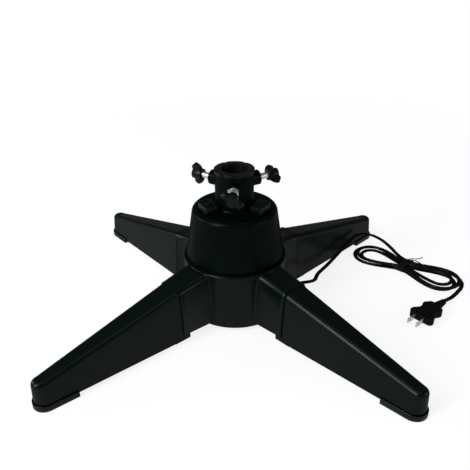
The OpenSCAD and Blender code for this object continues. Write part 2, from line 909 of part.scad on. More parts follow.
module outlet_place(a) {
    rotate([0, 0, a])
        translate([outlet_r, 0, bell_top_z])
            children();
}

module rotor_bell() {
    rib_end = bell_top_r - bell_wall - 0.1;
    color(body_green)
        difference() {
            union() {
                rotate_extrude()
                    bell_section();
                for (k = [0:5])
                    rotate([0, 0, 60 * k])
                        translate([neck_r - 1, -rib_t / 2, bell_top_z - rib_h])
                            cube([rib_end - neck_r + 1, rib_t, rib_h - bell_wall / 2]);
                screw_places()
                    translate([hub_tube_r + 0.5, 0, screw_z])
                        rotate([0, 90, 0])
                            cylinder(r = boss_r, h = boss_reach - hub_tube_r - 0.5, $fn = 64);
            }
            translate([0, 0, bell_low_z])
                cylinder(r = hub_tube_r, h = neck_top_z - bell_low_z + 1);
            screw_places()
                translate([0, 0, screw_z])
                    rotate([0, 90, 0]) {
                        cylinder(r = stud_r + 0.5, h = boss_reach + 1, $fn = 48);
                        translate([0, 0, nut_in_r])
                            cylinder(r = (nut_w / 2 + 0.1) / cos(30), h = nut_h + 1, $fn = 6);
                    }
            for (a = outlet_places)
                outlet_place(a)
                    translate([0, 0, -bell_wall - 1])
                        cylinder(r = outlet_peg_r + 0.1, h = bell_wall + 2, $fn = 48);
        }
}

module pole_tube() {
    color(pad_black)
        difference() {
            union() {
                translate([0, 0, gear_z])
                    cylinder(r = tube_r, h = tube_top_z - gear_z);
                translate([0, 0, flange_z])
                    cylinder(r = flange_r, h = flange_t);
            }
            translate([0, 0, pole_stop_z])
                cylinder(r = pole_r, h = tube_top_z - pole_stop_z + 1);
            translate([0, 0, gear_z - 1])
                cylinder(r = pole_r - pole_shelf, h = pole_stop_h + 2);
            screw_places()
                translate([0, 0, screw_z])
                    rotate([0, 90, 0])
                        cylinder(r = stud_r + 0.5, h = tube_r + 5, $fn = 48);
            screw_places()
                translate([gear_screw_r, 0, flange_z - 1])
                    cylinder(r = screw_pilot_r, h = flange_t + 0.2, $fn = 32);
        }
}

module lock_ring() {
    color(pad_black)
        difference() {
            ring(tube_r + tube_gap + lock_ring_w, tube_r + tube_gap, lock_ring_z, tube_top_z);
            for (k = [0:5])
                rotate([0, 0, 60 * k])
                    translate([tube_r + lock_ring_w - 1.2, -2, lock_ring_z - 1])
                        cube([4, 4, lock_ring_h + 2]);
        }
}

module clamp_nuts() {
    color(steel)
        screw_places()
            translate([nut_in_r, 0, screw_z])
                rotate([0, 90, 0])
                    difference() {
                        cylinder(r = nut_w / 2 / cos(30), h = nut_h, $fn = 6);
                        translate([0, 0, -1])
                            cylinder(r = stud_r + screw_fit, h = nut_h + 2, $fn = 48);
                    }
}

module clamp_stud(a) {
    end_r = knob_out_r - knob_cap;
    color(steel)
        rotate([0, 0, a])
            translate([stud_tip_r, 0, screw_z])
                rotate([0, 90, 0]) {
                    cylinder(r1 = stud_r - 1, r2 = stud_r, h = 1, $fn = 48);
                    translate([0, 0, 1])
                        cylinder(r = stud_r, h = end_r - stud_tip_r - 1, $fn = 48);
                }
}

module wing_knob(a, turn) {
    wing_r = 5;
    wing_x = knob_span / 2 - wing_r;
    core_r = stud_r + 3.2;
    knob_bore_r = stud_r + screw_fit;
    color(pad_black)
        rotate([0, 0, a])
            translate([knob_in_r, 0, screw_z])
                rotate([turn, 0, 0])
                    difference() {
                        union() {
                            rotate([0, 90, 0])
                                cylinder(r = core_r, h = knob_len, $fn = 48);
                            translate([0, 0, -knob_t / 2])
                                linear_extrude(knob_t) {
                                    for (s = [-1, 1])
                                        translate([knob_len - wing_r, s * wing_x])
                                            circle(r = wing_r, $fn = 48);
                                    polygon([[0, -core_r], [knob_len - 2 * wing_r, -wing_x - 3],
                                             [knob_len, -wing_x], [knob_len - 2.5, 0],
                                             [knob_len, wing_x], [knob_len - 2 * wing_r, wing_x + 3],
                                             [0, core_r]]);
                                }
                        }
                        translate([-1, 0, 0])
                            rotate([0, 90, 0])
                                cylinder(r = knob_bore_r, h = knob_len - knob_cap + 1.4, $fn = 48);
                    }
}

module clamp_stud_1() { clamp_stud(screw_places[0]); }
module clamp_stud_2() { clamp_stud(screw_places[1]); }
module clamp_stud_3() { clamp_stud(screw_places[2]); }
module wing_knob_1() { wing_knob(screw_places[0], 20); }
module wing_knob_2() { wing_knob(screw_places[1], 75); }
module wing_knob_3() { wing_knob(screw_places[2], -35); }

module rounded_plate(x, y, h, r) {
    linear_extrude(h) {
        square([x - 2 * r, y], center = true);
        square([x, y - 2 * r], center = true);
        for (i = [-1, 1], j = [-1, 1])
            translate([i * (x / 2 - r), j * (y / 2 - r)])
                circle(r = r, $fn = 32);
    }
}

module outlet(a) {
    color(body_green)
        outlet_place(a)
            difference() {
                union() {
                    rounded_plate(outlet_w, outlet_l, outlet_h, 3);
                    translate([0, 0, -bell_wall - 2])
                        cylinder(r = outlet_peg_r, h = bell_wall + 3, $fn = 48);
                }
                for (s = [-1, 1])
                    translate([-slot_l / 2, s * slot_step / 2 - slot_w / 2, 1.5])
                        cube([slot_l, slot_w, outlet_h]);
            }
}

module outlet_1() { outlet(outlet_places[0]); }
module outlet_2() { outlet(outlet_places[1]); }
module outlet_3() { outlet(outlet_places[2]); }

module outlet_contacts() {
    leaf = 0.35;
    side = slot_w / 2 - 0.03;
    color(brass)
        for (a = outlet_places)
            outlet_place(a)
                for (s = [-1, 1])
                    translate([-slot_l / 2 + 1, s * slot_step / 2, 1.52])
                        difference() {
                            translate([0, -side, 0])
                                cube([slot_l - 2, 2 * side, outlet_h - 4]);
                            translate([-1, -side + leaf, leaf])
                                cube([slot_l, 2 * side - 2 * leaf, outlet_h]);
                        }
}

// ---- legs ----

module leg_skin(inset, low_z) {
    hull() {
        beam(socket_reach + inset, socket_reach + inset + 0.5, root_top_w - 2 * inset,
             root_top_z - inset, low_z, socket_edge - inset, $fn = 32);
        translate([toe_x, 0, low_z])
            cylinder(r = leg_toe_r - inset, h = 0.5, $fn = 32);
        translate([tip_x, 0, leg_tip_z - leg_tip_edge])
            rotate_extrude($fn = 32)
                translate([leg_tip_r - leg_tip_edge, 0])
                    intersection() {
                        circle(r = leg_tip_edge - inset, $fn = 32);
                        square(2 * leg_tip_edge);
                    }
    }
}

module leg(a) {
    tongue_w = cavity_top_w - 2 * tongue_gap;
    tongue_top = cavity_top_z - tongue_gap;
    tongue_low = cavity_bottom_z + tongue_gap;
    tongue_edge = cavity_edge - tongue_gap;
    color(body_green)
        rotate([0, 0, a])
            difference() {
                union() {
                    leg_skin(0, root_bottom_z);
                    beam(tongue_start, socket_reach + 1, tongue_w, tongue_top, tongue_low, tongue_edge);
                }
                leg_skin(leg_wall, root_bottom_z - 2);
                beam(tongue_start - 1, socket_reach + leg_wall + 1, tongue_w - 2 * leg_wall,
                     tongue_top - leg_wall, tongue_low + leg_wall, tongue_edge / 2);
                translate([socket_reach - 1, -clip_w / 2 - body_gap, root_bottom_z - 1])
                    cube([leg_wall + 2, clip_w + 2 * body_gap, clip_top_z - root_bottom_z + body_gap + 1]);
            }
}

module foot_pad(a) {
    color(pad_black)
        rotate([0, 0, a])
            difference() {
                linear_extrude(pad_h)
                    foot_outline(pad_back_x, pad_back_w, toe_x, pad_end_r);
                translate([0, 0, leg_floor_gap])
                    linear_extrude(pad_h)
                        foot_outline(pad_back_x - 1, leg_at_pad_w + 2 * body_gap + 0.1, toe_x,
                                     leg_toe_r + body_gap);
            }
}

// A clip's nose lies under the socket, and its plate and heel under and inside the leg
module leg_clip(a) {
    nose_w = root_w - 2 * clip_nose_inset;
    inside_len = clip_heel + leg_wall;
    color(body_green)
        rotate([0, 0, a])
            translate([socket_reach, 0, root_bottom_z - clip_drop]) {
                translate([-clip_nose, -nose_w / 2, 0])
                    cube([clip_nose, nose_w, clip_top_z - root_bottom_z + clip_drop]);
                translate([-1, -nose_w / 2, 0])
                    cube([inside_len + 1, nose_w, clip_drop]);
                translate([-1, -clip_w / 2, 0])
                    cube([inside_len + 1, clip_w, clip_top_z - root_bottom_z + clip_drop]);
            }
}

module leg_fr() { leg(leg_fr_at); }
module leg_fl() { leg(leg_fl_at); }
module leg_br() { leg(leg_br_at); }
module leg_bl() { leg(leg_bl_at); }
module foot_pad_fr() { foot_pad(leg_fr_at); }
module foot_pad_fl() { foot_pad(leg_fl_at); }
module foot_pad_br() { foot_pad(leg_br_at); }
module foot_pad_bl() { foot_pad(leg_bl_at); }
module leg_clip_fr() { leg_clip(leg_fr_at); }
module leg_clip_fl() { leg_clip(leg_fl_at); }
module leg_clip_br() { leg_clip(leg_br_at); }
module leg_clip_bl() { leg_clip(leg_bl_at); }

// ---- cord and plug ----

module cord_gland() {
    color(cord_black)
        rotate([0, 0, gland_at])
            translate([0, 0, gland_z])
                rotate([0, 90, 0]) {
                    translate([0, 0, hub_in_r - 3.2])
                        cylinder(r = 8, h = 2.5, $fn = 48);
                    translate([0, 0, hub_in_r - 1])
                        cylinder(r = gland_neck_r, h = hub_wall + 1.5, $fn = 48);
                    translate([0, 0, hub_r + 0.1])
                        cylinder(r = 8.5, h = 3, $fn = 48);
                    translate([0, 0, hub_r + 3])
                        cylinder(r1 = 6.4, r2 = cord_w / 2 + 1, h = relief_len - 3, $fn = 48);
                }
}

function unit(v) = v / norm(v);

// The flat cord's section: across its width (side) and its thickness (up)
function cord_corners(sides) = sides == 6
    ? [[-0.5, 0], [-0.32, -0.5], [0.32, -0.5], [0.5, 0], [0.32, 0.5], [-0.32, 0.5]]
    : [[-0.5, -0.2], [-0.32, -0.5], [0.32, -0.5], [0.5, -0.2],
       [0.5, 0.2], [0.32, 0.5], [-0.32, 0.5], [-0.5, 0.2]];
function cord_ring(p, ahead, sides) =
    let (side = unit([ahead[1], -ahead[0], 0]), up = cross(side, ahead))
    [for (c = cord_corners(sides)) p + side * c[0] * cord_w + up * c[1] * cord_t];

// A flat cord swept along a line of points, its ends square to the two given directions
module flat_cord(line, first, last, sides) {
    n = len(line);
    aims = [for (k = [0:n - 1]) k == 0 ? unit(first) : k == n - 1 ? unit(last)
        : unit(unit(line[k + 1] - line[k]) + unit(line[k] - line[k - 1]))];
    points = [for (k = [0:n - 1], q = cord_ring(line[k], aims[k], sides)) q];
    walls = [for (k = [0:n - 2], j = [0:sides - 1])
        let (a = k * sides + j, b = k * sides + (j + 1) % sides)
        each [[a, b, b + sides], [a, b + sides, a + sides]]];
    caps = [for (j = [1:sides - 2])
        each [[0, j + 1, j], [(n - 1) * sides, (n - 1) * sides + j, (n - 1) * sides + j + 1]]];
    polyhedron(points = points, faces = concat(walls, caps), convexity = 8);
}

// The hank lies flat, drawn in at its waist, on a centre line at hank_turn. The turn where the
// cord comes in stands up off the floor
hank_axis = [cos(hank_turn), sin(hank_turn), 0];
hank_across = [-sin(hank_turn), cos(hank_turn), 0];
hank_mid = hank_loops / 2;

// Half width of a run: the waist in the middle and the end loops' radius at its ends
function run_half(x, k) =
    let (waist = hank_waist + k * waist_share, swell = (1 - cos(180 * abs(x) / hank_run)) / 2)
    waist + (hank_end_r + k - waist) * swell;

// A point on the hank after s loops, in the hank's own axes
function hank_flat(s) =
    let (
        part = s - floor(s),
        half = part < 0.5 ? 0 : 1,
        q = part - half / 2,
        k = cord_step * abs(s - hank_mid),
        a = 180 - 720 * q,
        b = 90 - 720 * (q - 0.375),
        x = q < 0.125 ? -hank_run + (hank_end_r + k) * cos(a)
            : q < 0.375 ? hank_run * (8 * (q - 0.125) - 1)
            : hank_run + (hank_end_r + k) * cos(b),
        y = q < 0.125 ? (hank_end_r + k) * sin(a)
            : q < 0.375 ? run_half(x, k)
            : (hank_end_r + k) * sin(b),
        fall = min(max((s - hank_mid + climb_share) / (2 * climb_share), 0), 1),
        layer = layer_rise * (1 - fall * fall * (3 - 2 * fall)),
        arch = s < stand_share ? hank_stand * (1 + cos(180 * s / stand_share)) / 2 : 0
    )
    [half == 0 ? x : -x, half == 0 ? y : -y,
     cord_t / 2 + layer + arch + tie_lift * exp(-pow(x / 14, 2))];
function hank_point(s) =
    let (q = hank_flat(s))
    [hank_at[0], hank_at[1], 0] + hank_axis * q[0] + hank_across * q[1] + [0, 0, q[2]];

hank_first = hank_point(0) - hank_across * cord_w;
hank_last = hank_point(hank_loops) - hank_across * cord_w;
hank_line = concat([hank_first],
                   [for (k = [0:24 * hank_loops]) hank_point(k / 24)],
                   [hank_last]);

// Least gap between the hank's turns: across the flat cord, or between its layers
hank_samples = [for (k = [0:48 * hank_loops]) hank_point(k / 48)];
hank_gaps = [for (i = [0:len(hank_samples) - 1])
    min([for (j = [i + 12:len(hank_samples) - 1])
        let (d = hank_samples[j] - hank_samples[i])
        max(norm([d[0], d[1]]) - cord_w, abs(d[2]) - cord_t), 1000])];
echo(str("least gap between the hank's turns, mm: ", min(hank_gaps)));

module supply_cord() {
    gland_way = [cos(gland_at), sin(gland_at), 0];
    color(cord_black)
        flat_cord(concat([gland_end], cord_route, [hank_first]), gland_way, hank_across, 8);
}

module cord_hank() {
    color(cord_black)
        flat_cord(hank_line, hank_across, -hank_across, 6);
}

module plug_lead() {
    plug_way = [cos(plug_turn), sin(plug_turn), 0];
    color(cord_black)
        flat_cord(concat([hank_last], lead_route, [[plug_at[0], plug_at[1], plug_lift]]),
                  -hank_across, plug_way, 8);
}

module hank_tie() {
    far = hank_waist + (hank_mid - 0.25) * cord_step * waist_share + cord_w / 2 + 0.5;
    near = hank_waist + (hank_mid - 0.75) * cord_step * waist_share + cord_w / 2 + 0.5;
    top_z = cord_t + tie_lift + layer_rise + 0.2;
    low_z = tie_lift - 0.2;
    color(pad_black)
        translate([hank_at[0], hank_at[1], 0])
            rotate([0, 0, hank_turn]) {
                difference() {
                    translate([-tie_w / 2, -near - tie_t, low_z - tie_t])
                        cube([tie_w, far + near + 2 * tie_t, top_z - low_z + 2 * tie_t]);
                    translate([-tie_w, -near, low_z])
                        cube([2 * tie_w, far + near, top_z - low_z]);
                }
                for (s = [-1, 1])
                    translate([0, 2, top_z + tie_t - eps])
                        rotate([s * 40, 30 * s, 0])
                            cylinder(r = 0.8, h = 12, $fn = 24);
            }
}

module plug_place() {
    translate([plug_at[0], plug_at[1], plug_lift])
        rotate([0, 0, plug_turn])
            children();
}

module plug_body() {
    rib_step = plug_relief / (relief_ribs + 1);
    color(cord_black)
        plug_place() {
            rotate([0, 90, 0])
                cylinder(r1 = cord_w / 2 + 0.6, r2 = 5, h = plug_relief, $fn = 48);
            for (k = [1:relief_ribs])
                translate([plug_relief - rib_step * k, 0, 0])
                    rotate([0, 90, 0])
                        cylinder(r = 6.4 - 0.35 * k, h = rib_step / 2, $fn = 48);
            difference() {
                plug_moulding();
                plug_blade_places(0.05)
                    cube([blade_root + 1, blade_t + 0.1, blade_w + 0.1]);
            }
        }
}

module plug_moulding() {
    core_half = plug_w / 2 - 7.5;
    rear_half = plug_w / 2 - 3;
    waist_half = plug_w / 2 - 6;
    corner = 3;
    core = [[0, 6], [4, core_half], [plug_len - corner, core_half]];
    wing = [[0, 6.5], [5, rear_half], [9, rear_half], [plug_len * 0.45, waist_half],
            [plug_len - 8, plug_w / 2], [plug_len - corner, plug_w / 2],
            [plug_len, plug_w / 2 - corner]];
    translate([plug_relief - eps, 0, 0]) {
        translate([0, 0, -plug_t / 2])
            linear_extrude(plug_t)
                both_sides(core);
        translate([0, 0, -plug_grip])
            linear_extrude(2 * plug_grip)
                both_sides(wing);
    }
}

// Outline with the same points on either side of the X axis
module both_sides(points) {
    polygon(concat(points, [for (k = [len(points) - 1:-1:0]) [points[k][0], -points[k][1]]]));
}

// Inner ends of the two blades, set back by a gap
module plug_blade_places(gap) {
    for (s = [-1, 1])
        translate([plug_relief + plug_len - blade_root - gap,
                   s * blade_step / 2 - blade_t / 2 - gap, -blade_w / 2 - gap])
            children();
}

module plug_blades() {
    hole_x = blade_root + blade_len - 4.5;
    color(steel)
        plug_place()
            plug_blade_places(0)
                difference() {
                    cube([blade_root + blade_len, blade_t, blade_w]);
                    translate([hole_x, -1, blade_w / 2])
                        rotate([-90, 0, 0])
                            cylinder(r = 1.5, h = blade_t + 2, $fn = 32);
                }
}

hub_housing();
bottom_cover();
cover_screws();
deck_bush();
lower_race();
spindle_bush();
motor();
motor_screws();
brush_holder();
holder_screws();
brushes();
rotor_bell();
pole_tube();
lock_ring();
clamp_nuts();
upper_race();
drive_gear();
gear_screws();
slip_ring_core();
slip_rings();
outlet_1();
outlet_2();
outlet_3();
outlet_contacts();
ball_cage();
bearing_balls();
motor_shaft();
pinion();
clamp_stud_1();
clamp_stud_2();
clamp_stud_3();
wing_knob_1();
wing_knob_2();
wing_knob_3();
leg_fr();
leg_fl();
leg_br();
leg_bl();
foot_pad_fr();
foot_pad_fl();
foot_pad_br();
foot_pad_bl();
leg_clip_fr();
leg_clip_fl();
leg_clip_br();
leg_clip_bl();
cord_gland();
supply_cord();
cord_hank();
plug_lead();
hank_tie();
plug_body();
plug_blades();
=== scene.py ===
import json
import math
import bpy
import bmesh
from mathutils import Matrix, Vector


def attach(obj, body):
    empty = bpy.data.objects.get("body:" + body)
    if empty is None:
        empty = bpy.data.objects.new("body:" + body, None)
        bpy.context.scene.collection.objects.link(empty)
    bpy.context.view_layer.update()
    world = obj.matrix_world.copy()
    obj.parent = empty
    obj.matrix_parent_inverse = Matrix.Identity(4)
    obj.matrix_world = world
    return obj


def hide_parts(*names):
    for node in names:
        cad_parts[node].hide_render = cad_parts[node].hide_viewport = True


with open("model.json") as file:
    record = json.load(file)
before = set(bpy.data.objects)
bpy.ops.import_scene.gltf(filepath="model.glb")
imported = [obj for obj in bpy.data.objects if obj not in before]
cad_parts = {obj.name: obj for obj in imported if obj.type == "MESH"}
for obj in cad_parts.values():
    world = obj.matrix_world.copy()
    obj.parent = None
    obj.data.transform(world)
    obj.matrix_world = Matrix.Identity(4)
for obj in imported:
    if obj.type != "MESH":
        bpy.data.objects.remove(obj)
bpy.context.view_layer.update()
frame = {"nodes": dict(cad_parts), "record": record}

nodes = frame["nodes"]
mm = 0.001
weldDistance = 2e-6      # metres
thinEdge = 1e-6


def srgb(r, g, b):
    # linear colour from 0-255 values
    def lin(c):
        c /= 255
        return c / 12.92 if c <= 0.04045 else ((c + 0.055) / 1.055) ** 2.4
    return (lin(r), lin(g), lin(b), 1)


def smoothStep(t):
    t = min(max(t, 0), 1)
    return t * t * (3 - 2 * t)


def spread(a, b, count):
    # count numbers from a to b, both ends in
    return [a + (b - a) * i / (count - 1) for i in range(count)]


def addObject(name, data):
    obj = bpy.data.objects.new(name, data)
    bpy.context.scene.collection.objects.link(obj)
    return obj


cameraSet = {
    "place": (0.0328, -0.6771, 0.4688),
    "pitch": 28.93,      # degrees down
    "turn": 2.77,        # degrees to the left of +Y
    "roll": -0.6,
    "lens": 44.97,
    "sensor": 36,
    "shiftY": 0.0183,
    "clip": (0.01, 50),
}


def makeCamera(c):
    data = bpy.data.cameras.new("camera")
    data.lens = c["lens"]
    data.sensor_width = c["sensor"]
    data.shift_y = c["shiftY"]
    data.clip_start, data.clip_end = c["clip"]
    look = (Matrix.Rotation(math.radians(c["turn"]), 4, "Z")
            @ Matrix.Rotation(math.radians(90 - c["pitch"]), 4, "X")
            @ Matrix.Rotation(math.radians(c["roll"]), 4, "Z"))
    cam = addObject("camera", data)
    cam.matrix_world = Matrix.Translation(c["place"]) @ look
    bpy.context.scene.camera = cam


makeCamera(cameraSet)
print("camera placed")


# Shapes are pairs of a list of points in mm and a list of faces. A piece gathers some in one object.

def tidyMesh(mesh, smoothAngle):
    bm = bmesh.new()
    bm.from_mesh(mesh)
    bmesh.ops.remove_doubles(bm, verts=bm.verts, dist=weldDistance)
    bmesh.ops.dissolve_degenerate(bm, edges=bm.edges, dist=thinEdge)
    bmesh.ops.recalc_face_normals(bm, faces=bm.faces)
    bm.to_mesh(mesh)
    bm.free()
    mesh.shade_smooth()
    mesh.set_sharp_from_angle(angle=math.radians(smoothAngle))


def newPiece(name, shapes, body, place=None, smoothAngle=35):
    # place is a matrix in metres
    points, faces = [], []
    for shapePoints, shapeFaces in shapes:
        start = len(points)
        points += [Vector(p) * mm for p in shapePoints]
        faces += [[start + i for i in f] for f in shapeFaces]
    mesh = bpy.data.meshes.new(name)
    mesh.from_pydata([tuple(p) for p in points], [], faces)
    if place is not None:
        mesh.transform(place)
    tidyMesh(mesh, smoothAngle)
    obj = addObject(name, mesh)
    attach(obj, body)
    return obj


def placeAt(point, turn):
    # a place in mm, turned about the vertical by degrees
    return Matrix.Translation(Vector(point) * mm) @ Matrix.Rotation(math.radians(turn), 4, "Z")


def gridFaces(rows, columns, closeRows=False, closeColumns=False):
    # quads of a grid of points given row by row
    faces = []
    for i in range(rows if closeRows else rows - 1):
        for j in range(columns if closeColumns else columns - 1):
            here, below = i * columns, ((i + 1) % rows) * columns
            after = (j + 1) % columns
            faces.append([here + j, here + after, below + after, below + j])
    return faces


def sweep(rings):
    # a skin over closed rings of points, with its ends capped
    columns = len(rings[0])
    points = [p for ring in rings for p in ring]
    faces = gridFaces(len(rings), columns, closeColumns=True)
    faces.append(list(range(columns))[::-1])
    faces.append([len(points) - columns + j for j in range(columns)])
    return points, faces


def closedRings(rings):
    # a skin over closed rings, the last one joined to the first
    points = [p for ring in rings for p in ring]
    return points, gridFaces(len(rings), len(rings[0]), closeRows=True, closeColumns=True)


def turnAngles(steps):
    return [2 * math.pi * k / steps for k in range(steps)]


def turnedShape(profile, steps=48):
    # (x, radius) pairs turned round the X axis
    return sweep([[(x, r * math.cos(a), r * math.sin(a)) for a in turnAngles(steps)] for x, r in profile])


def arcPoints(cx, cy, r, a0, a1, steps):
    return [(cx + r * math.cos(math.radians(a)), cy + r * math.sin(math.radians(a)))
            for a in spread(a0, a1, steps + 1)]


def bevelled(obj, width, segments=2, angle=30):
    mod = obj.modifiers.new("bevel", "BEVEL")
    mod.width = width * mm
    mod.segments = segments
    mod.limit_method = "ANGLE"
    mod.angle_limit = math.radians(angle)
    mod.harden_normals = True
    return obj


def dress(obj, material):
    obj.data.materials.clear()
    obj.data.materials.append(material)


# one flat two-core cord from the gland, through the hank, to the plug
cordSet = {
    "width": 5.9,
    "thick": 2.9,
    "coreGap": 1.5,        # from the middle of the cord to the middle of a core
    "webAngle": 22,        # where the web meets a core, in degrees
    "length": 1.56,        # metres
    "hankAt": (253, 98),
    "hankTurn": -40,       # degrees
    "hankLoops": 3.5,
    "loopSteps": 24,
    "hankRun": 56,
    "hankEnd": 14,         # radius of the inner end loops
    "hankWaist": 2.2,
    "hankStep": 10.5,
    "waistShare": 0.7,
    "layerRise": 4.4,
    "climbShare": 0.14,
    "hankStand": 20,       # how high the first turn stands off the others
    "standShare": 0.24,
    "tieLift": 1.1,
    "tieReach": 14,
    "plugAt": (286, 0, 8),
    "plugTurn": -137,      # degrees
}
glandSet = {
    "angle": 12,           # degrees
    "z": 22,
    "wallOut": 67,
    "wallIn": 64,
    "reach": 24,
    "overlap": 3,          # how much of the cord the gland holds
    "ribs": 6,
    "ribStart": 6.2,
}
cordRoute = [
    (95.5, 20.3, 22.2), (102, 22.8, 21.8), (107.6, 27.2, 20.6), (111.4, 33.4, 18.8),
    (113.6, 41, 16.6), (115.4, 49.5, 14.6), (118.2, 58.5, 13), (122.6, 67.5, 12),
    (128.4, 77, 11.6), (134.6, 86.5, 11.8), (141, 96, 13), (147.8, 105.5, 15),
    (155, 115, 17.8), (162.6, 124.5, 20.8), (170.6, 134.2, 23.6),
]
leadRoute = [(312.2, 30.4, 1.5), (306.2, 23.4, 1.7), (300.2, 16.4, 2.9), (294.8, 10, 5), (290.2, 4.7, 7)]


def hankAxes(c):
    turn = math.radians(c["hankTurn"])
    return Vector((math.cos(turn), math.sin(turn), 0)), Vector((-math.sin(turn), math.cos(turn), 0))


def hankPoint(s, c):
    # the point on the hank after s loops, each of two ends and two straight halves
    mid = c["hankLoops"] / 2
    part = s - math.floor(s)
    secondHalf = part >= 0.5
    q = part - (0.5 if secondHalf else 0)
    grow = c["hankStep"] * abs(s - mid)
    run, end = c["hankRun"], c["hankEnd"] + grow
    if q < 0.125:
        a = math.radians(180 - 720 * q)
        x, y = -run + end * math.cos(a), end * math.sin(a)
    elif q < 0.375:
        x = run * (8 * (q - 0.125) - 1)
        waist = c["hankWaist"] + grow * c["waistShare"]
        y = waist + (end - waist) * (1 - math.cos(math.pi * abs(x) / run)) / 2
    else:
        a = math.radians(90 - 720 * (q - 0.375))
        x, y = run + end * math.cos(a), end * math.sin(a)
    if secondHalf:
        x, y = -x, -y
    climb = c["climbShare"]
    layer = c["layerRise"] * (1 - smoothStep((s - mid + climb) / (2 * climb)))
    arch = c["hankStand"] * (1 + math.cos(math.pi * min(s / c["standShare"], 1))) / 2
    z = c["thick"] / 2 + layer + arch + c["tieLift"] * math.exp(-(x / c["tieReach"]) ** 2)
    along, across = hankAxes(c)
    return Vector((*c["hankAt"], 0)) + along * x + across * y + Vector((0, 0, z))


def throughPoints(points, counts):
    # a smooth line through points, with counts[i] steps between points i and i + 1
    line = []
    for i in range(len(points) - 1):
        p0 = points[i - 1] if i else points[0] * 2 - points[1]
        p1, p2 = points[i], points[i + 1]
        p3 = points[i + 2] if i + 2 < len(points) else points[-1] * 2 - points[-2]
        t0 = 0
        t1 = t0 + math.sqrt((p1 - p0).length)
        t2 = t1 + math.sqrt((p2 - p1).length)
        t3 = t2 + math.sqrt((p3 - p2).length)
        for k in range(counts[i]):
            t = t1 + (t2 - t1) * k / counts[i]
            a1 = p0 * (t1 - t) / (t1 - t0) + p1 * (t - t0) / (t1 - t0)
            a2 = p1 * (t2 - t) / (t2 - t1) + p2 * (t - t1) / (t2 - t1)
            a3 = p2 * (t3 - t) / (t3 - t2) + p3 * (t - t2) / (t3 - t2)
            b1 = a1 * (t2 - t) / (t2 - t0) + a2 * (t - t0) / (t2 - t0)
            b2 = a2 * (t3 - t) / (t3 - t1) + a3 * (t - t1) / (t3 - t1)
            line.append(b1 * (t2 - t) / (t2 - t1) + b2 * (t - t1) / (t2 - t1))
    return line + [points[-1]]


def lineAhead(line, i):
    # the line's direction at its point i
    return (line[min(i + 1, len(line) - 1)] - line[max(i - 1, 0)]).normalized()


def cordLine(c, g):
    a = math.radians(g["angle"])
    out = Vector((math.cos(a), math.sin(a), 0))
    start = out * (g["wallOut"] + g["reach"] - g["overlap"]) + Vector((0, 0, g["z"]))
    across = hankAxes(c)[1]
    first = hankPoint(0, c) - across * c["width"]
    last = hankPoint(c["hankLoops"], c) - across * c["width"]
    steps = c["loopSteps"]
    coil = [hankPoint(k / steps, c) for k in range(int(steps * c["hankLoops"]) + 1)]
    points = ([start] + [Vector(p) for p in cordRoute] + [first] + coil + [last]
              + [Vector(p) for p in leadRoute] + [Vector(c["plugAt"])])
    counts = [2] * (len(cordRoute) + 1 + len(coil) + 1) + [4] * (len(leadRoute) + 1)
    return throughPoints(points, counts)


def cordSection(c, steps=12):
    # outline of the two cores and the web between them, across and up
    r, gap, web = c["thick"] / 2, c["coreGap"], c["webAngle"]
    return (arcPoints(gap, 0, r, web - 180, 180 - web, steps)
            + arcPoints(-gap, 0, r, web, 360 - web, steps))


def makeCord(c, g):
    line = cordLine(c, g)
    section = cordSection(c)
    rings = []
    for i, p in enumerate(line):
        ahead = lineAhead(line, i)
        side = Vector((ahead.y, -ahead.x, 0)).normalized()
        up = side.cross(ahead)
        rings.append([p + side * y + up * z for y, z in section])
    return newPiece("cord", [sweep(rings)], "base", smoothAngle=50), line


cord, cordPath = makeCord(cordSet, glandSet)
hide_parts("supply_cord", "cord_hank", "plug_lead")
print("cord laid, rings:", len(cordPath))


# the plug: a moulded body with finger grips and a ribbed relief
plugSet = {
    "relief": 22,          # length of the relief, before the body
    "reliefStart": 3.55,
    "reliefEnd": 5.6,
    "reliefRibs": 5,
    "ribLift": 0.6,
    "length": 36,
    "width": 34,
    "thick": 16,
    "neck": 6,             # half width where the relief ends
    "coreInset": 7.5,      # the thick middle's side, from the edge of the wings
    "grip": 5.5,           # half thickness of the wings
    "round": 1.6,
    "gripRidges": 4,
    "ridgeStart": 10.5,
    "ridgeStep": 4.2,
    "ridgeHalf": 0.9,
    "ridgeLift": 0.7,
    "ridgeRound": 0.55,
}


def extruded(outline, z0, z1):
    # a closed outline in X and Y pulled up from z0 to z1
    n = len(outline)
    points = [(x, y, z) for z in (z0, z1) for x, y in outline]
    faces = [[i, (i + 1) % n, n + (i + 1) % n, n + i] for i in range(n)]
    faces += [list(range(n))[::-1], [n + i for i in range(n)]]
    return points, faces


def bothSides(points):
    return points + [(x, -y) for x, y in reversed(points)]


def plugRidges(p):
    half, ridges = p["width"] / 2, []
    for k in range(p["gripRidges"]):
        x = p["relief"] + p["ridgeStart"] + p["ridgeStep"] * k
        back, front = x - p["ridgeHalf"], x + p["ridgeHalf"]
        inner, outer = half - 8, half - (6.6 if 0 < k < p["gripRidges"] - 1 else 5.4)
        for s in (-1, 1):
            ridge = [(back, s * inner), (front, s * inner), (front, s * outer), (back, s * outer)]
            ridges.append(extruded(ridge, -p["grip"] - p["ridgeLift"], p["grip"] + p["ridgeLift"]))
    return ridges


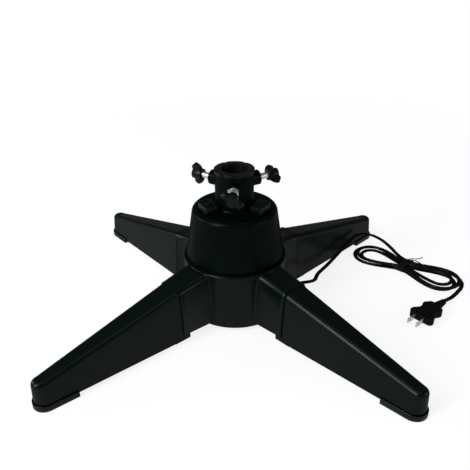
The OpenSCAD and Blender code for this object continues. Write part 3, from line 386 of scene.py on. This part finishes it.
def plugReliefProfile(p):
    low, high, lift = p["reliefStart"], p["reliefEnd"], p["ribLift"]
    step = p["relief"] / (p["reliefRibs"] + 0.6)
    profile = [(0, 0.2), (0, low - 0.3), (0.4, low)]
    for k in range(p["reliefRibs"]):
        x = 1.2 + step * k
        r = low + (high - low) * k / (p["reliefRibs"] - 1)
        profile += [(x, r), (x + 0.25, r + 0.75 * lift), (x + 0.6, r + lift), (x + step * 0.5, r + lift),
                    (x + step * 0.5 + 0.35, r + 0.75 * lift), (x + step * 0.62, r), (x + step * 0.9, r)]
    return profile + [(p["relief"] + 1, high), (p["relief"] + 1, 0.2)]


def makePlug(p, c):
    place = placeAt(c["plugAt"], c["plugTurn"])
    half, length = p["width"] / 2, p["length"]
    side = half - p["coreInset"]
    core = [(0, p["neck"]), (4, side), (length - 3, side)]
    wing = [(0, p["neck"] + 0.5), (3, half - 4), (5, half - 3), (9, half - 3), (13, half - 5),
            (length * 0.45, half - 6), (20, half - 5.4), (24, half - 2.6),
            (length - 8, half), (length - 3, half), (length, half - 3)]
    shapes = []
    for outline, z in ((core, p["thick"] / 2), (wing, p["grip"])):
        shapes.append(extruded(bothSides([(p["relief"] + x, y) for x, y in outline]), -z, z))
    body = bevelled(newPiece("plugBody", shapes, "base", place), p["round"], 4, 25)
    grips = bevelled(newPiece("plugGrips", plugRidges(p), "base", place), p["ridgeRound"], 3, 25)
    relief = newPiece("plugRelief", [turnedShape(plugReliefProfile(p))], "base", place)
    return [body, grips, relief]


plugPieces = makePlug(plugSet, cordSet)
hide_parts("plug_body")
print("plug moulded")


def makeGland(g, c):
    # the ribbed sleeve where the cord leaves the hub
    inner, outer, last = g["wallIn"], g["wallOut"], c["width"] / 2 + 0.75
    profile = [(inner - 3.2, 0.2), (inner - 3.2, 8), (inner - 0.7, 8), (inner - 0.7, 6),
               (outer + 0.1, 6), (outer + 0.1, 8.1), (outer + 0.5, 8.5), (outer + 2.4, 8.5),
               (outer + 3.1, 7.8), (outer + 3.1, 6.3)]
    start, end = outer + 4.2, outer + g["reach"]
    step = (end - start) / g["ribs"]
    for k in range(g["ribs"]):
        x = start + step * k
        r = g["ribStart"] + (last - g["ribStart"]) * k / (g["ribs"] - 1)
        profile += [(x, r - 0.5), (x + 0.25, r + 0.1), (x + 0.5, r + 0.25), (x + step - 1.5, r + 0.15),
                    (x + step - 1.1, r), (x + step - 0.9, r - 0.6)]
    profile += [(end, c["width"] / 2 + 0.2), (end, 0.2)]
    place = Matrix.Rotation(math.radians(g["angle"]), 4, "Z") @ Matrix.Translation((0, 0, g["z"] * mm))
    return newPiece("cordGland", [turnedShape(profile)], "base", place)


gland = makeGland(glandSet, cordSet)
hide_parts("cord_gland")


# the twist tie round the hank's waist
tieSet = {
    "width": 3,
    "thick": 0.8,
    "far": 16.7,
    "near": -13.0,
    "low": 0.9,
    "top": 8.6,
    "slack": 0.4,          # room between the tie and the cord
    "corner": 2.2,
    "wraps": 3,
    "wrapStep": 3.1,
    "lean": 1.2,
    "wire": 0.7,
    "knotAt": (-4, 1, 9.4),
    "knotRun": 7,
    "knotTurns": 2,
    "twist": 0.65,
}
# the two wire ends from the twist, in mm along the hank, across it and up
tieEnds = [
    [(-4, 8, 9.4), (-2, 10.5, 10.2), (2, 13.5, 12.4), (7, 16.5, 12.6), (12, 20.5, 13.4), (16, 24.5, 15.6)],
    [(-4, 8, 9.4), (0, 8.5, 10.2), (6, 9.5, 13.2), (13, 10, 14), (20, 9.5, 13), (26, 8.6, 10.6),
     (30, 7.6, 8.6)],
]


def strandSweep(line, radius, steps=10):
    # a round strand along a line
    rings = []
    side = lineAhead(line, 0).orthogonal().normalized()
    for i, p in enumerate(line):
        ahead = lineAhead(line, i)
        side = (side - ahead * side.dot(ahead)).normalized()
        up = ahead.cross(side)
        rings.append([p + (side * math.cos(a) + up * math.sin(a)) * radius for a in turnAngles(steps)])
    return sweep(rings)


def tieBand(t, offset, lean):
    # one flat wrap with the wire's ridge along its middle
    r, w, h = t["corner"], t["width"] / 2, t["thick"] / 2
    y0, y1 = t["near"] - h, t["far"] + h
    z0, z1 = t["low"] - t["slack"], t["top"] + t["slack"]
    corners = [(y1 - r, z1 - r), (y0 + r, z1 - r), (y0 + r, z0 + r), (y1 - r, z0 + r)]
    loop = []
    for k, (y, z) in enumerate(corners):
        loop += arcPoints(y, z, r, 90 * k, 90 * k + 90, 6)
    loop.pop()
    section = [(-w, 0), (-w * 0.8, h * 0.55), (-0.35, h * 0.6), (0, h), (0.35, h * 0.6),
               (w * 0.8, h * 0.55), (w, 0), (w * 0.8, -h), (-w * 0.8, -h)]
    rings = []
    for i, (y, z) in enumerate(loop):
        ahead = (Vector(loop[(i + 1) % len(loop)]) - Vector(loop[i - 1])).normalized()
        shift = offset + lean * (y - (y0 + y1) / 2) / (y1 - y0)
        rings.append([(x + shift, y + ahead.y * o, z - ahead.x * o) for x, o in section])
    return closedRings(rings)


def tieKnot(t):
    # the two wires twisted round each other
    x, y, z = t["knotAt"]
    knot = []
    for half in (0, 180):
        line = []
        for u in spread(0, 1, 25):
            spin = math.radians(half + 360 * t["knotTurns"] * u)
            line.append(Vector((x + t["twist"] * math.cos(spin), y + t["knotRun"] * u,
                                z + t["twist"] * math.sin(spin))))
        knot.append(strandSweep(line, t["wire"]))
    return knot


def makeTie(t, ends, c):
    bands = [tieBand(t, t["wrapStep"] * (k - (t["wraps"] - 1) / 2), t["lean"] * (1 - 2 * (k % 2)))
             for k in range(t["wraps"])]
    wires = [strandSweep(throughPoints([Vector(p) for p in end], [5] * (len(end) - 1)), t["wire"])
             for end in ends]
    return newPiece("hankTie", bands + tieKnot(t) + wires, "base", placeAt((*c["hankAt"], 0), c["hankTurn"]))


tie = makeTie(tieSet, tieEnds, cordSet)
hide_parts("hank_tie")

# the legs: a hollow shell open below, a plate at its root and the tongue that enters the socket
legSet = {
    "angles": {"fr": -45, "fl": -135, "br": 45, "bl": 135},
    "rootX": 107.5, "rootHalf": 17.7, "rootTop": 74.2, "rootEdge": 7,
    "bottom": 5,
    "tipX": 287, "tipRing": 4.5, "tipTube": 6, "tipTop": 36,
    "toeX": 285, "toeR": 13.4,
    "draft": 4 / 63,
    "wall": 2.5,
    "tongueStart": 68.5, "tongueHalf": 15.1, "tongueTop": 71.6, "tongueLow": 15.4, "tongueEdge": 3.6,
    "tongueInnerEdge": 1.8,
    "rootOpening": 1.2,      # how far the plate reaches over the tongue's wall
    "slotHalf": 18.7, "slotTop": 12,
    "runSteps": 24, "tipSteps": 32,
}
# steps up a beam's side, round its edge and over its top
beamSteps = {"side": 6, "arc": 8, "top": 3}


def beamHalf(halfTop, top, low, edge, draft, inset=0):
    # right half of a beam's outline, from its lower edge up and over to the centre line
    sideSteps, arcSteps, topSteps = beamSteps.values()
    lean = math.atan(draft)
    halfTop -= inset * (1 / math.cos(lean) - math.tan(lean))
    top -= inset
    edge = max(edge - inset, 0.4)
    cx = halfTop - edge * (1 - math.sin(lean)) / math.cos(lean)
    arc = arcPoints(cx, top - edge, edge, math.degrees(lean), 90, arcSteps)
    lowY = halfTop + draft * (top - low)
    side = [(lowY + (arc[0][0] - lowY) * k / sideSteps, low + (arc[0][1] - low) * k / sideSteps)
            for k in range(sideSteps)]
    return side + arc + [(cx * (1 - k / topSteps), top) for k in range(1, topSteps + 1)]


def tipColumn(s, turn, inset, low):
    # a column of points up the leg's rounded end and over it to the middle
    sideSteps, arcSteps, topSteps = beamSteps.values()
    tube = max(s["tipTube"] - inset, 0.5)
    zc = s["tipTop"] - s["tipTube"]
    c, n = math.cos(turn), math.sin(turn)
    foot = Vector((s["toeX"] + (s["toeR"] - inset) * c, (s["toeR"] - inset) * n, low))
    lean = math.atan((s["toeR"] - s["tipRing"] - s["tipTube"]) / (zc - s["bottom"]))
    arc = []
    for k in range(arcSteps + 1):
        a = lean + (math.pi / 2 - lean) * k / arcSteps
        r = s["tipRing"] + tube * math.cos(a)
        arc.append(Vector((s["tipX"] + r * c, r * n, zc + tube * math.sin(a))))
    side = [foot.lerp(arc[0], k / sideSteps) for k in range(sideSteps)]
    centre = Vector((s["tipX"], 0, zc + tube))
    return side + arc + [arc[-1].lerp(centre, k / topSteps) for k in range(1, topSteps + 1)]


def legSkin(s, inset, low):
    # rows of points from the root's right side, round the tip, to the root's left side
    root = beamHalf(s["rootHalf"], s["rootTop"], low, s["rootEdge"], s["draft"], inset)
    lowHalf = s["rootHalf"] + s["draft"] * (s["rootTop"] - s["bottom"])
    lastTurn = math.pi / 2 - math.asin((lowHalf - s["toeR"]) / (s["toeX"] - s["rootX"]))
    start = [Vector((s["rootX"], y, z)) for y, z in root]
    tip = tipColumn(s, lastTurn, inset, low)
    steps = s["runSteps"]
    rightSide = [[a.lerp(b, k / steps) for a, b in zip(start, tip)] for k in range(steps + 1)]
    roundTip = [tipColumn(s, turn, inset, low) for turn in spread(lastTurn, -lastTurn, s["tipSteps"] + 1)[1:]]
    leftSide = [[Vector((p.x, -p.y, p.z)) for p in row] for row in reversed(rightSide[:-1])]
    return rightSide + roundTip + leftSide


def legShell(s):
    outer = legSkin(s, 0, s["bottom"])
    inner = legSkin(s, s["wall"], s["bottom"])
    rows, columns = len(outer), len(outer[0])
    points = [p for row in outer + inner for p in row]
    faces = gridFaces(rows, columns)
    shift = rows * columns
    faces += [[shift + i for i in reversed(f)] for f in gridFaces(rows, columns)]
    # the open edges, joined between the skins
    lowEdge = [(i * columns, (i + 1) * columns) for i in range(rows - 1)]
    rootEdges = [(r * columns + j, r * columns + j + 1) for j in range(columns - 1) for r in (0, rows - 1)]
    for a, b in lowEdge + rootEdges:
        faces.append([a, b, shift + b, shift + a])
    return points, faces


def mirroredOutline(half):
    return half + [(-y, z) for y, z in reversed(half[:-1])]


def filledPlate(outlines, x0, x1):
    # flat plate with holes, its outlines in Y and Z, from x0 to x1
    curve = bpy.data.curves.new("plate", "CURVE")
    curve.dimensions = "2D"
    curve.fill_mode = "BOTH"
    curve.extrude = (x1 - x0) / 2
    for outline in outlines:
        spline = curve.splines.new("POLY")
        spline.points.add(len(outline) - 1)
        for point, (y, z) in zip(spline.points, outline):
            point.co = (y, z, 0, 1)
        spline.use_cyclic_u = True
    obj = addObject("plate", curve)
    mesh = bpy.data.meshes.new_from_object(obj.evaluated_get(bpy.context.evaluated_depsgraph_get()))
    points = [((x0 + x1) / 2 + v.co.z, v.co.x, v.co.y) for v in mesh.vertices]
    faces = [list(p.vertices) for p in mesh.polygons]
    bpy.data.objects.remove(obj)
    bpy.data.curves.remove(curve)
    bpy.data.meshes.remove(mesh)
    return points, faces


def legRoot(s):
    # the plate at the root, with the slot for the clip and the opening into the tongue
    half = beamHalf(s["rootHalf"], s["rootTop"], s["bottom"], s["rootEdge"], s["draft"])
    slot = [(s["slotHalf"], s["bottom"]), (s["slotHalf"], s["slotTop"])]
    outline = mirroredOutline(half) + [(-y, z) for y, z in slot] + list(reversed(slot))
    o = s["rootOpening"]
    opening = mirroredOutline(beamHalf(s["tongueHalf"] - o, s["tongueTop"] - o, s["tongueLow"] + o,
                                       s["tongueEdge"] - o, s["draft"]))
    return filledPlate([outline, opening], s["rootX"], s["rootX"] + s["wall"])


def legTongue(s):
    low, wall = s["tongueLow"], s["wall"]
    outer = mirroredOutline(beamHalf(s["tongueHalf"], s["tongueTop"], low, s["tongueEdge"], s["draft"]))
    inner = mirroredOutline(beamHalf(s["tongueHalf"] - wall, s["tongueTop"] - wall, low + wall,
                                     s["tongueInnerEdge"], s["draft"]))
    x0, x1 = s["tongueStart"], s["rootX"] + wall
    ends = [(outer, x0), (outer, x1), (inner, x1), (inner, x0)]
    return closedRings([[(x, y, z) for y, z in outline] for outline, x in ends])


def makeLeg(key, s):
    place = Matrix.Rotation(math.radians(s["angles"][key]), 4, "Z")
    leg = newPiece("leg_" + key + "_shell", [legShell(s), legRoot(s), legTongue(s)], "leg_" + key,
                   place, smoothAngle=40)
    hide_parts("leg_" + key)
    return leg


legs = {key: makeLeg(key, legSet) for key in legSet["angles"]}
print("legs lofted")


# fillets where the sockets run into the drum and its rim
socketSet = {
    "mouthX": 107.5, "half": 18.5, "top": 75, "edge": 7, "low": 12,
    "slope": 10, "flare": 2.8, "draft": 4 / 63,
    "wallR": 67, "rimR": 68.2, "rimLow": 76, "rimTop": 82.3,
    "radius": 3, "leastRadius": 0.7,
    "sunk": 0.4,               # how deep the fillet's edges lie in the walls
    "sideLevels": 14, "edgeLevels": 12, "arcSteps": 8,
}


def socketPoint(s, level, x):
    # a point on the right side of a socket's skin, at a level up its side or round its edge
    kind, value = level
    back = s["mouthX"] - x
    top = s["top"] + back * math.tan(math.radians(s["slope"]))
    half = s["half"] + back * math.tan(math.radians(s["flare"]))
    lean, edge = math.atan(s["draft"]), s["edge"]
    cy = half - edge * (1 - math.sin(lean)) / math.cos(lean)
    cz = top - edge
    if kind == "arc":
        a = lean + (math.pi / 2 - lean) * value
        return Vector((x, cy + edge * math.cos(a), cz + edge * math.sin(a)))
    startY, startZ = cy + edge * math.cos(lean), cz + edge * math.sin(lean)
    z = s["low"] + (startZ - s["low"]) * value
    return Vector((x, startY + s["draft"] * (startZ - z), z))


def filletCentre(s, level, x):
    # the ball that rolls on the socket at x: its touching point, normal, centre and radius,
    # and the radius of the drum's wall at its height
    kind, value = level
    p = socketPoint(s, level, x)
    alongX = socketPoint(s, level, x + 0.1) - socketPoint(s, level, x - 0.1)
    alongLevel = socketPoint(s, (kind, value + 0.01), x) - socketPoint(s, (kind, value - 0.01), x)
    n = alongLevel.cross(alongX).normalized()
    n = n if n.y > 0 or n.z > 0.9 else -n
    radius = s["radius"]
    if n.z >= 0.05:
        radius = min(radius, max((s["rimTop"] - p.z) / n.z, s["leastRadius"]))
    c = p + n * radius
    wall = s["wallR"] + (s["rimR"] - s["wallR"]) * smoothStep((c.z - s["rimLow"] + 1.5) / 2)
    return p, n, c, radius, wall


def filletRow(s, level):
    # halves the way in until the ball touches the drum as well, then lays its arc
    near, far = 60, 100
    for _ in range(40):
        x = (near + far) / 2
        p, n, c, radius, wall = filletCentre(s, level, x)
        if math.hypot(c.x, c.y) > wall + radius:
            far = x
        else:
            near = x
    away = Vector((c.x, c.y, 0)).normalized()
    arc = [c + (-n).slerp(-away, k / s["arcSteps"]) * radius for k in range(s["arcSteps"] + 1)]
    return [p - n * s["sunk"]] + arc + [arc[-1] - away * s["sunk"]]


def makeFillets(s):
    levels = ([("side", v) for v in spread(0.0, 1.0, s["sideLevels"])]
              + [("arc", v) for v in spread(0.08, 0.97, s["edgeLevels"])])
    rows = [filletRow(s, level) for level in levels]
    last, columns = len(rows) - 1, len(rows[0])
    shapes = []
    for angle in legSet["angles"].values():
        turn = Matrix.Rotation(math.radians(angle), 3, "Z")
        for side in (1, -1):
            mirrored = [[Vector((p.x, side * p.y, p.z)) for p in row] for row in rows]
            points = [turn @ p for row in mirrored for p in row]
            faces = gridFaces(len(rows), columns)
            # the sunk ends close the strip into a thin solid
            start = len(points)
            points += [turn @ row[0].lerp(row[-1], 0.5) for row in mirrored]
            for i in range(last):
                for edge in (0, columns - 1):
                    faces.append([i * columns + edge, (i + 1) * columns + edge, start + i + 1, start + i])
            for i in (0, last):
                faces.append([i * columns + j for j in range(columns)] + [start + i])
            shapes.append((points, faces))
    return newPiece("socketFillets", shapes, "base", smoothAngle=60)


fillets = makeFillets(socketSet)
print("fillets laid")


# the bell's lower hem, a moulded lip that runs inside the hub's rim
hemSet = {"inner": 61.6, "outer": 64.55, "low": 81.9, "top": 83.1, "round": 0.35, "steps": 192}


def makeHem(h):
    outer, top, r = h["outer"], h["top"], h["round"]
    section = [(h["inner"], h["low"]), (outer - r, h["low"]), (outer, h["low"] + r), (outer, top - r),
               (outer - r, top), (outer - 1.6, top + 0.3), (h["inner"], top + 0.6)]
    rings = [[(r * math.cos(a), r * math.sin(a), z) for r, z in section] for a in turnAngles(h["steps"])]
    return newPiece("bellHem", [closedRings(rings)], "rotor")


hem = makeHem(hemSet)


# width in mm of the softened edge of each CAD node that keeps its own mesh
edgeSet = {
    "hub_housing": 0.8, "rotor_bell": 0.5, "pole_tube": 0.35, "lock_ring": 0.35, "bottom_cover": 0.4,
    "outlet_1": 0.5, "outlet_2": 0.5, "outlet_3": 0.5,
    "wing_knob_1": 0.9, "wing_knob_2": 0.9, "wing_knob_3": 0.9,
    "foot_pad_fr": 1.1, "foot_pad_fl": 1.1, "foot_pad_br": 1.1, "foot_pad_bl": 1.1,
    "leg_clip_fr": 0.4, "leg_clip_fl": 0.4, "leg_clip_br": 0.4, "leg_clip_bl": 0.4,
    "plug_blades": 0.25, "motor": 0.3, "drive_gear": 0.15, "pinion": 0.1,
}
# metres between points that are welded, and the angles in degrees of faces that count as
# flat, of edges that are softened and of edges that stay sharp
softenSet = {"weld": 5e-6, "flat": 0.6, "soften": 28, "sharp": 30}


def softened(obj, width, s):
    weld = obj.modifiers.new("weld", "WELD")
    weld.merge_threshold = s["weld"]
    flat = obj.modifiers.new("flat", "DECIMATE")
    flat.decimate_type = "DISSOLVE"
    flat.angle_limit = math.radians(s["flat"])
    bevelled(obj, width, angle=s["soften"])


for nodeName, width in edgeSet.items():
    softened(nodes[nodeName], width, softenSet)
for node in nodes.values():
    node.data.shade_smooth()
    node.data.set_sharp_from_angle(angle=math.radians(softenSet["sharp"]))
print("edges softened")


def addNode(graph, kind, values, **settings):
    # a shader node, its sockets filled with values or linked to the outputs given
    node = graph.nodes.new("ShaderNode" + kind)
    for key, value in settings.items():
        setattr(node, key, value)
    fillNode(graph, node, values)
    return node


def fillNode(graph, node, values):
    for key, value in values.items():
        if isinstance(value, bpy.types.NodeSocket):
            graph.links.new(value, node.inputs[key])
        else:
            node.inputs[key].default_value = value


def moulded(name, colour, roughness=0.5, grain=0.12, grainSize=0.0009, ior=1.3, mottle=0.10, scuff=0.0,
            sheenSpread=0.07, gloss=0.0, skin=0.2, metallic=0.0):
    mat = bpy.data.materials.new(name)
    mat.use_nodes = True
    graph = mat.node_tree
    coords = addNode(graph, "TexCoord", {})

    def noise(size, detail, roughnessValue=0.55):
        return addNode(graph, "TexNoise", {"Scale": 1 / size, "Detail": detail, "Roughness": roughnessValue,
                                           "Vector": coords.outputs["Object"]}).outputs["Fac"]

    def ranged(source, low, high, fromLow=0.3, fromHigh=0.7):
        return addNode(graph, "MapRange", {"From Min": fromLow, "From Max": fromHigh, "To Min": low,
                                           "To Max": high, "Value": source}).outputs["Result"]

    def shaded(share):
        return [min(c * share, 1) for c in colour[:3]] + [1]

    cloud = ranged(noise(0.045, 4), 0, 1)
    colourOut = addNode(graph, "Mix", {"A": shaded(1 - mottle), "B": shaded(1 + 2 * mottle), "Factor": cloud},
                        data_type="RGBA").outputs["Result"]
    fine = noise(grainSize, 2, 0.6)
    blotch = ranged(noise(0.012, 3), roughness - sheenSpread, roughness + sheenSpread)
    rough = addNode(graph, "Math", {0: blotch, 1: ranged(fine, -0.03, 0.03)}, operation="ADD")

    if scuff:
        # thin pale rub marks in stretched noise
        stretch = addNode(graph, "Mapping", {"Rotation": (0.5, 0.3, 0.7), "Scale": (30, 420, 260),
                                             "Vector": coords.outputs["Object"]})
        marks = addNode(graph, "TexNoise", {"Scale": 1, "Detail": 2, "Vector": stretch.outputs["Vector"]})
        amount = addNode(graph, "Math", {0: ranged(marks.outputs["Fac"], 0, 1, 0.66, 0.74),
                                         1: ranged(noise(0.06, 2), 0, scuff, 0.5, 0.62)},
                         operation="MULTIPLY")
        pale = [min(c * 3 + 0.006, 1) for c in colour[:3]] + [1]
        colourOut = addNode(graph, "Mix", {"A": colourOut, "B": pale, "Factor": amount.outputs["Value"]},
                            data_type="RGBA").outputs["Result"]

    bump = addNode(graph, "Bump", {"Strength": grain, "Distance": grainSize * 0.25, "Height": fine})
    shader = graph.nodes["Principled BSDF"]
    fillNode(graph, shader, {"IOR": ior, "Metallic": metallic, "Base Color": colourOut,
                             "Roughness": rough.outputs["Value"], "Normal": bump.outputs["Normal"]})
    if gloss:
        # the moulding's thin skin carries the highlights, over a duller body
        fillNode(graph, shader, {"Coat Weight": gloss, "Coat IOR": 1.5, "Coat Roughness": skin,
                                 "Coat Normal": bump.outputs["Normal"]})
    return mat


def metal(name, colour, roughness):
    return moulded(name, colour, roughness, grain=0.06, grainSize=0.0006, ior=1.5, mottle=0.05,
                   sheenSpread=0.08, metallic=1)


finishes = {
    "housing": moulded("housingPlastic", srgb(1, 8, 6), grain=0.16, ior=1.02, scuff=0.35,
                       gloss=0.195, skin=0.29),
    # painted shade: the bell's base colour is darker than the housing's, standing in for shade falling on it
    # from above; its coat is duller too
    "bell": moulded("bellPlasticPaintedShade", srgb(1, 6, 5), grain=0.16, ior=1.02, scuff=0.3,
                    gloss=0.065, skin=0.3),
    "black_plastic": moulded("blackPlastic", srgb(8, 10, 10), grain=0.10, ior=1.05, scuff=0.25,
                             gloss=0.18, skin=0.25),
    "rubber_pad": moulded("padRubber", srgb(4, 8, 7), grain=0.08, ior=1.02, gloss=0.28, skin=0.2),
    "cord_vinyl": moulded("cordVinyl", srgb(8, 8, 8), grain=0.10, grainSize=0.0006, ior=1.02,
                          gloss=0.10, skin=0.24),
    "nylon": moulded("nylon", srgb(226, 222, 208), 0.38, grain=0.06, ior=1.45, mottle=0.03),
    "steel": metal("zincSteel", srgb(186, 188, 190), 0.34),
    "brass": metal("brass", srgb(206, 168, 96), 0.28),
}
slotOf = {s["node"]: s["material_slot"] for s in frame["record"]["subparts"]}
# the rotor bell takes the copy of the housing plastic with painted shade
for nodeName, node in nodes.items():
    dress(node, finishes["bell" if nodeName == "rotor_bell" else slotOf[nodeName]])
for slotName, pieces in {"cord_vinyl": [cord, gland] + plugPieces, "black_plastic": [tie],
                         "housing": [fillets] + list(legs.values())}.items():
    for piece in pieces:
        dress(piece, finishes[slotName])
# the hem carries the bell's painted shade too
dress(hem, finishes["bell"])
print("materials on")


stageSet = {
    "floor": srgb(246, 246, 246),
    "floorHalf": 20,
    "glowNear": 0.84,        # the floor's own white by the object, so that its shadow stays pale
    "glowFrom": 0.4,
    "glowTo": 1.3,           # metres from the middle, where the floor turns plain white
    "skyLow": 0.28,
    "skyHigh": 0.2,
    "skyFrom": 0.02,         # heights on the sky, from 0 at the horizon to 1 overhead
    "skyTo": 0.45,
}
# the side softbox stands far off to the front left: it draws the lines along the ridges
lampSet = {
    "sun": {"place": (0.15, 0.05, 2.4), "target": (0, 0, 0), "power": 0.25, "angle": 24},
    "sideSoftbox": {"place": (-2.8, -2.18, 2.77), "target": (0, 0, 0.05), "power": 235, "size": (1.2, 3.4)},
    "leftSoftbox": {"place": (-1.35, 0.2, 0.5), "target": (-0.1, 0.1, 0.05), "power": 8, "size": (0.5, 0.35)},
    "rightSoftbox": {"place": (1.8, -0.5, 0.7), "target": (0, 0, 0.05), "power": 10, "size": (1.0, 0.6)},
}


def makeLamp(name, lamp):
    data = bpy.data.lights.new(name, "AREA" if "size" in lamp else "SUN")
    data.energy = lamp["power"]
    if "size" in lamp:
        data.shape = "RECTANGLE"
        data.size, data.size_y = lamp["size"]
    else:
        data.angle = math.radians(lamp["angle"])
    obj = addObject(name, data)
    obj.location = lamp["place"]
    obj.rotation_euler = (Vector(lamp["target"]) - Vector(lamp["place"])).to_track_quat("-Z", "Y").to_euler()


def floorPaint(s):
    # matt white that glows where the camera sees it, itself or in a reflection
    mat = bpy.data.materials.new("floorPaint")
    mat.use_nodes = True
    graph = mat.node_tree
    shader = graph.nodes["Principled BSDF"]
    fillNode(graph, shader, {"Base Color": s["floor"], "Roughness": 0.9, "Specular IOR Level": 0})
    glow = addNode(graph, "Emission", {})
    ray = addNode(graph, "LightPath", {})
    seen = ray.outputs["Is Camera Ray"]
    for kind in ("Is Glossy Ray", "Is Transmission Ray"):
        seen = addNode(graph, "Math", {0: seen, 1: ray.outputs[kind]}, operation="MAXIMUM").outputs["Value"]
    place = addNode(graph, "NewGeometry", {})
    away = addNode(graph, "VectorMath", {0: place.outputs["Position"]}, operation="LENGTH")
    share = addNode(graph, "MapRange", {"From Min": s["glowFrom"], "From Max": s["glowTo"],
                                        "To Min": s["glowNear"], "To Max": 1,
                                        "Value": away.outputs["Value"]}, interpolation_type="SMOOTHSTEP")
    amount = addNode(graph, "Math", {0: seen, 1: share.outputs["Result"]}, operation="MULTIPLY")
    blend = addNode(graph, "MixShader", {"Fac": amount.outputs["Value"], 1: shader.outputs["BSDF"],
                                         2: glow.outputs["Emission"]})
    fillNode(graph, graph.nodes["Material Output"], {"Surface": blend.outputs["Shader"]})
    return mat


def makeFloor(s):
    h = s["floorHalf"]
    mesh = bpy.data.meshes.new("floor")
    mesh.from_pydata([(-h, -h, 0), (h, -h, 0), (h, h, 0), (-h, h, 0)], [], [(0, 1, 2, 3)])
    mesh.materials.append(floorPaint(s))
    addObject("floor", mesh)


def makeWorld(s):
    world = bpy.data.worlds.new("world")
    bpy.context.scene.world = world
    world.use_nodes = True
    graph = world.node_tree
    coords = addNode(graph, "TexCoord", {})
    split = addNode(graph, "SeparateXYZ", {"Vector": coords.outputs["Generated"]})
    sky = addNode(graph, "MapRange", {"From Min": s["skyFrom"], "From Max": s["skyTo"],
                                      "To Min": s["skyLow"], "To Max": s["skyHigh"],
                                      "Value": split.outputs["Z"]}, interpolation_type="SMOOTHSTEP")
    fillNode(graph, graph.nodes["Background"], {"Color": (1, 1, 1, 1), "Strength": sky.outputs["Result"]})


makeFloor(stageSet)
for lampName, lamp in lampSet.items():
    makeLamp(lampName, lamp)
makeWorld(stageSet)
bpy.context.scene.view_settings.view_transform = "Standard"
print("stage set")
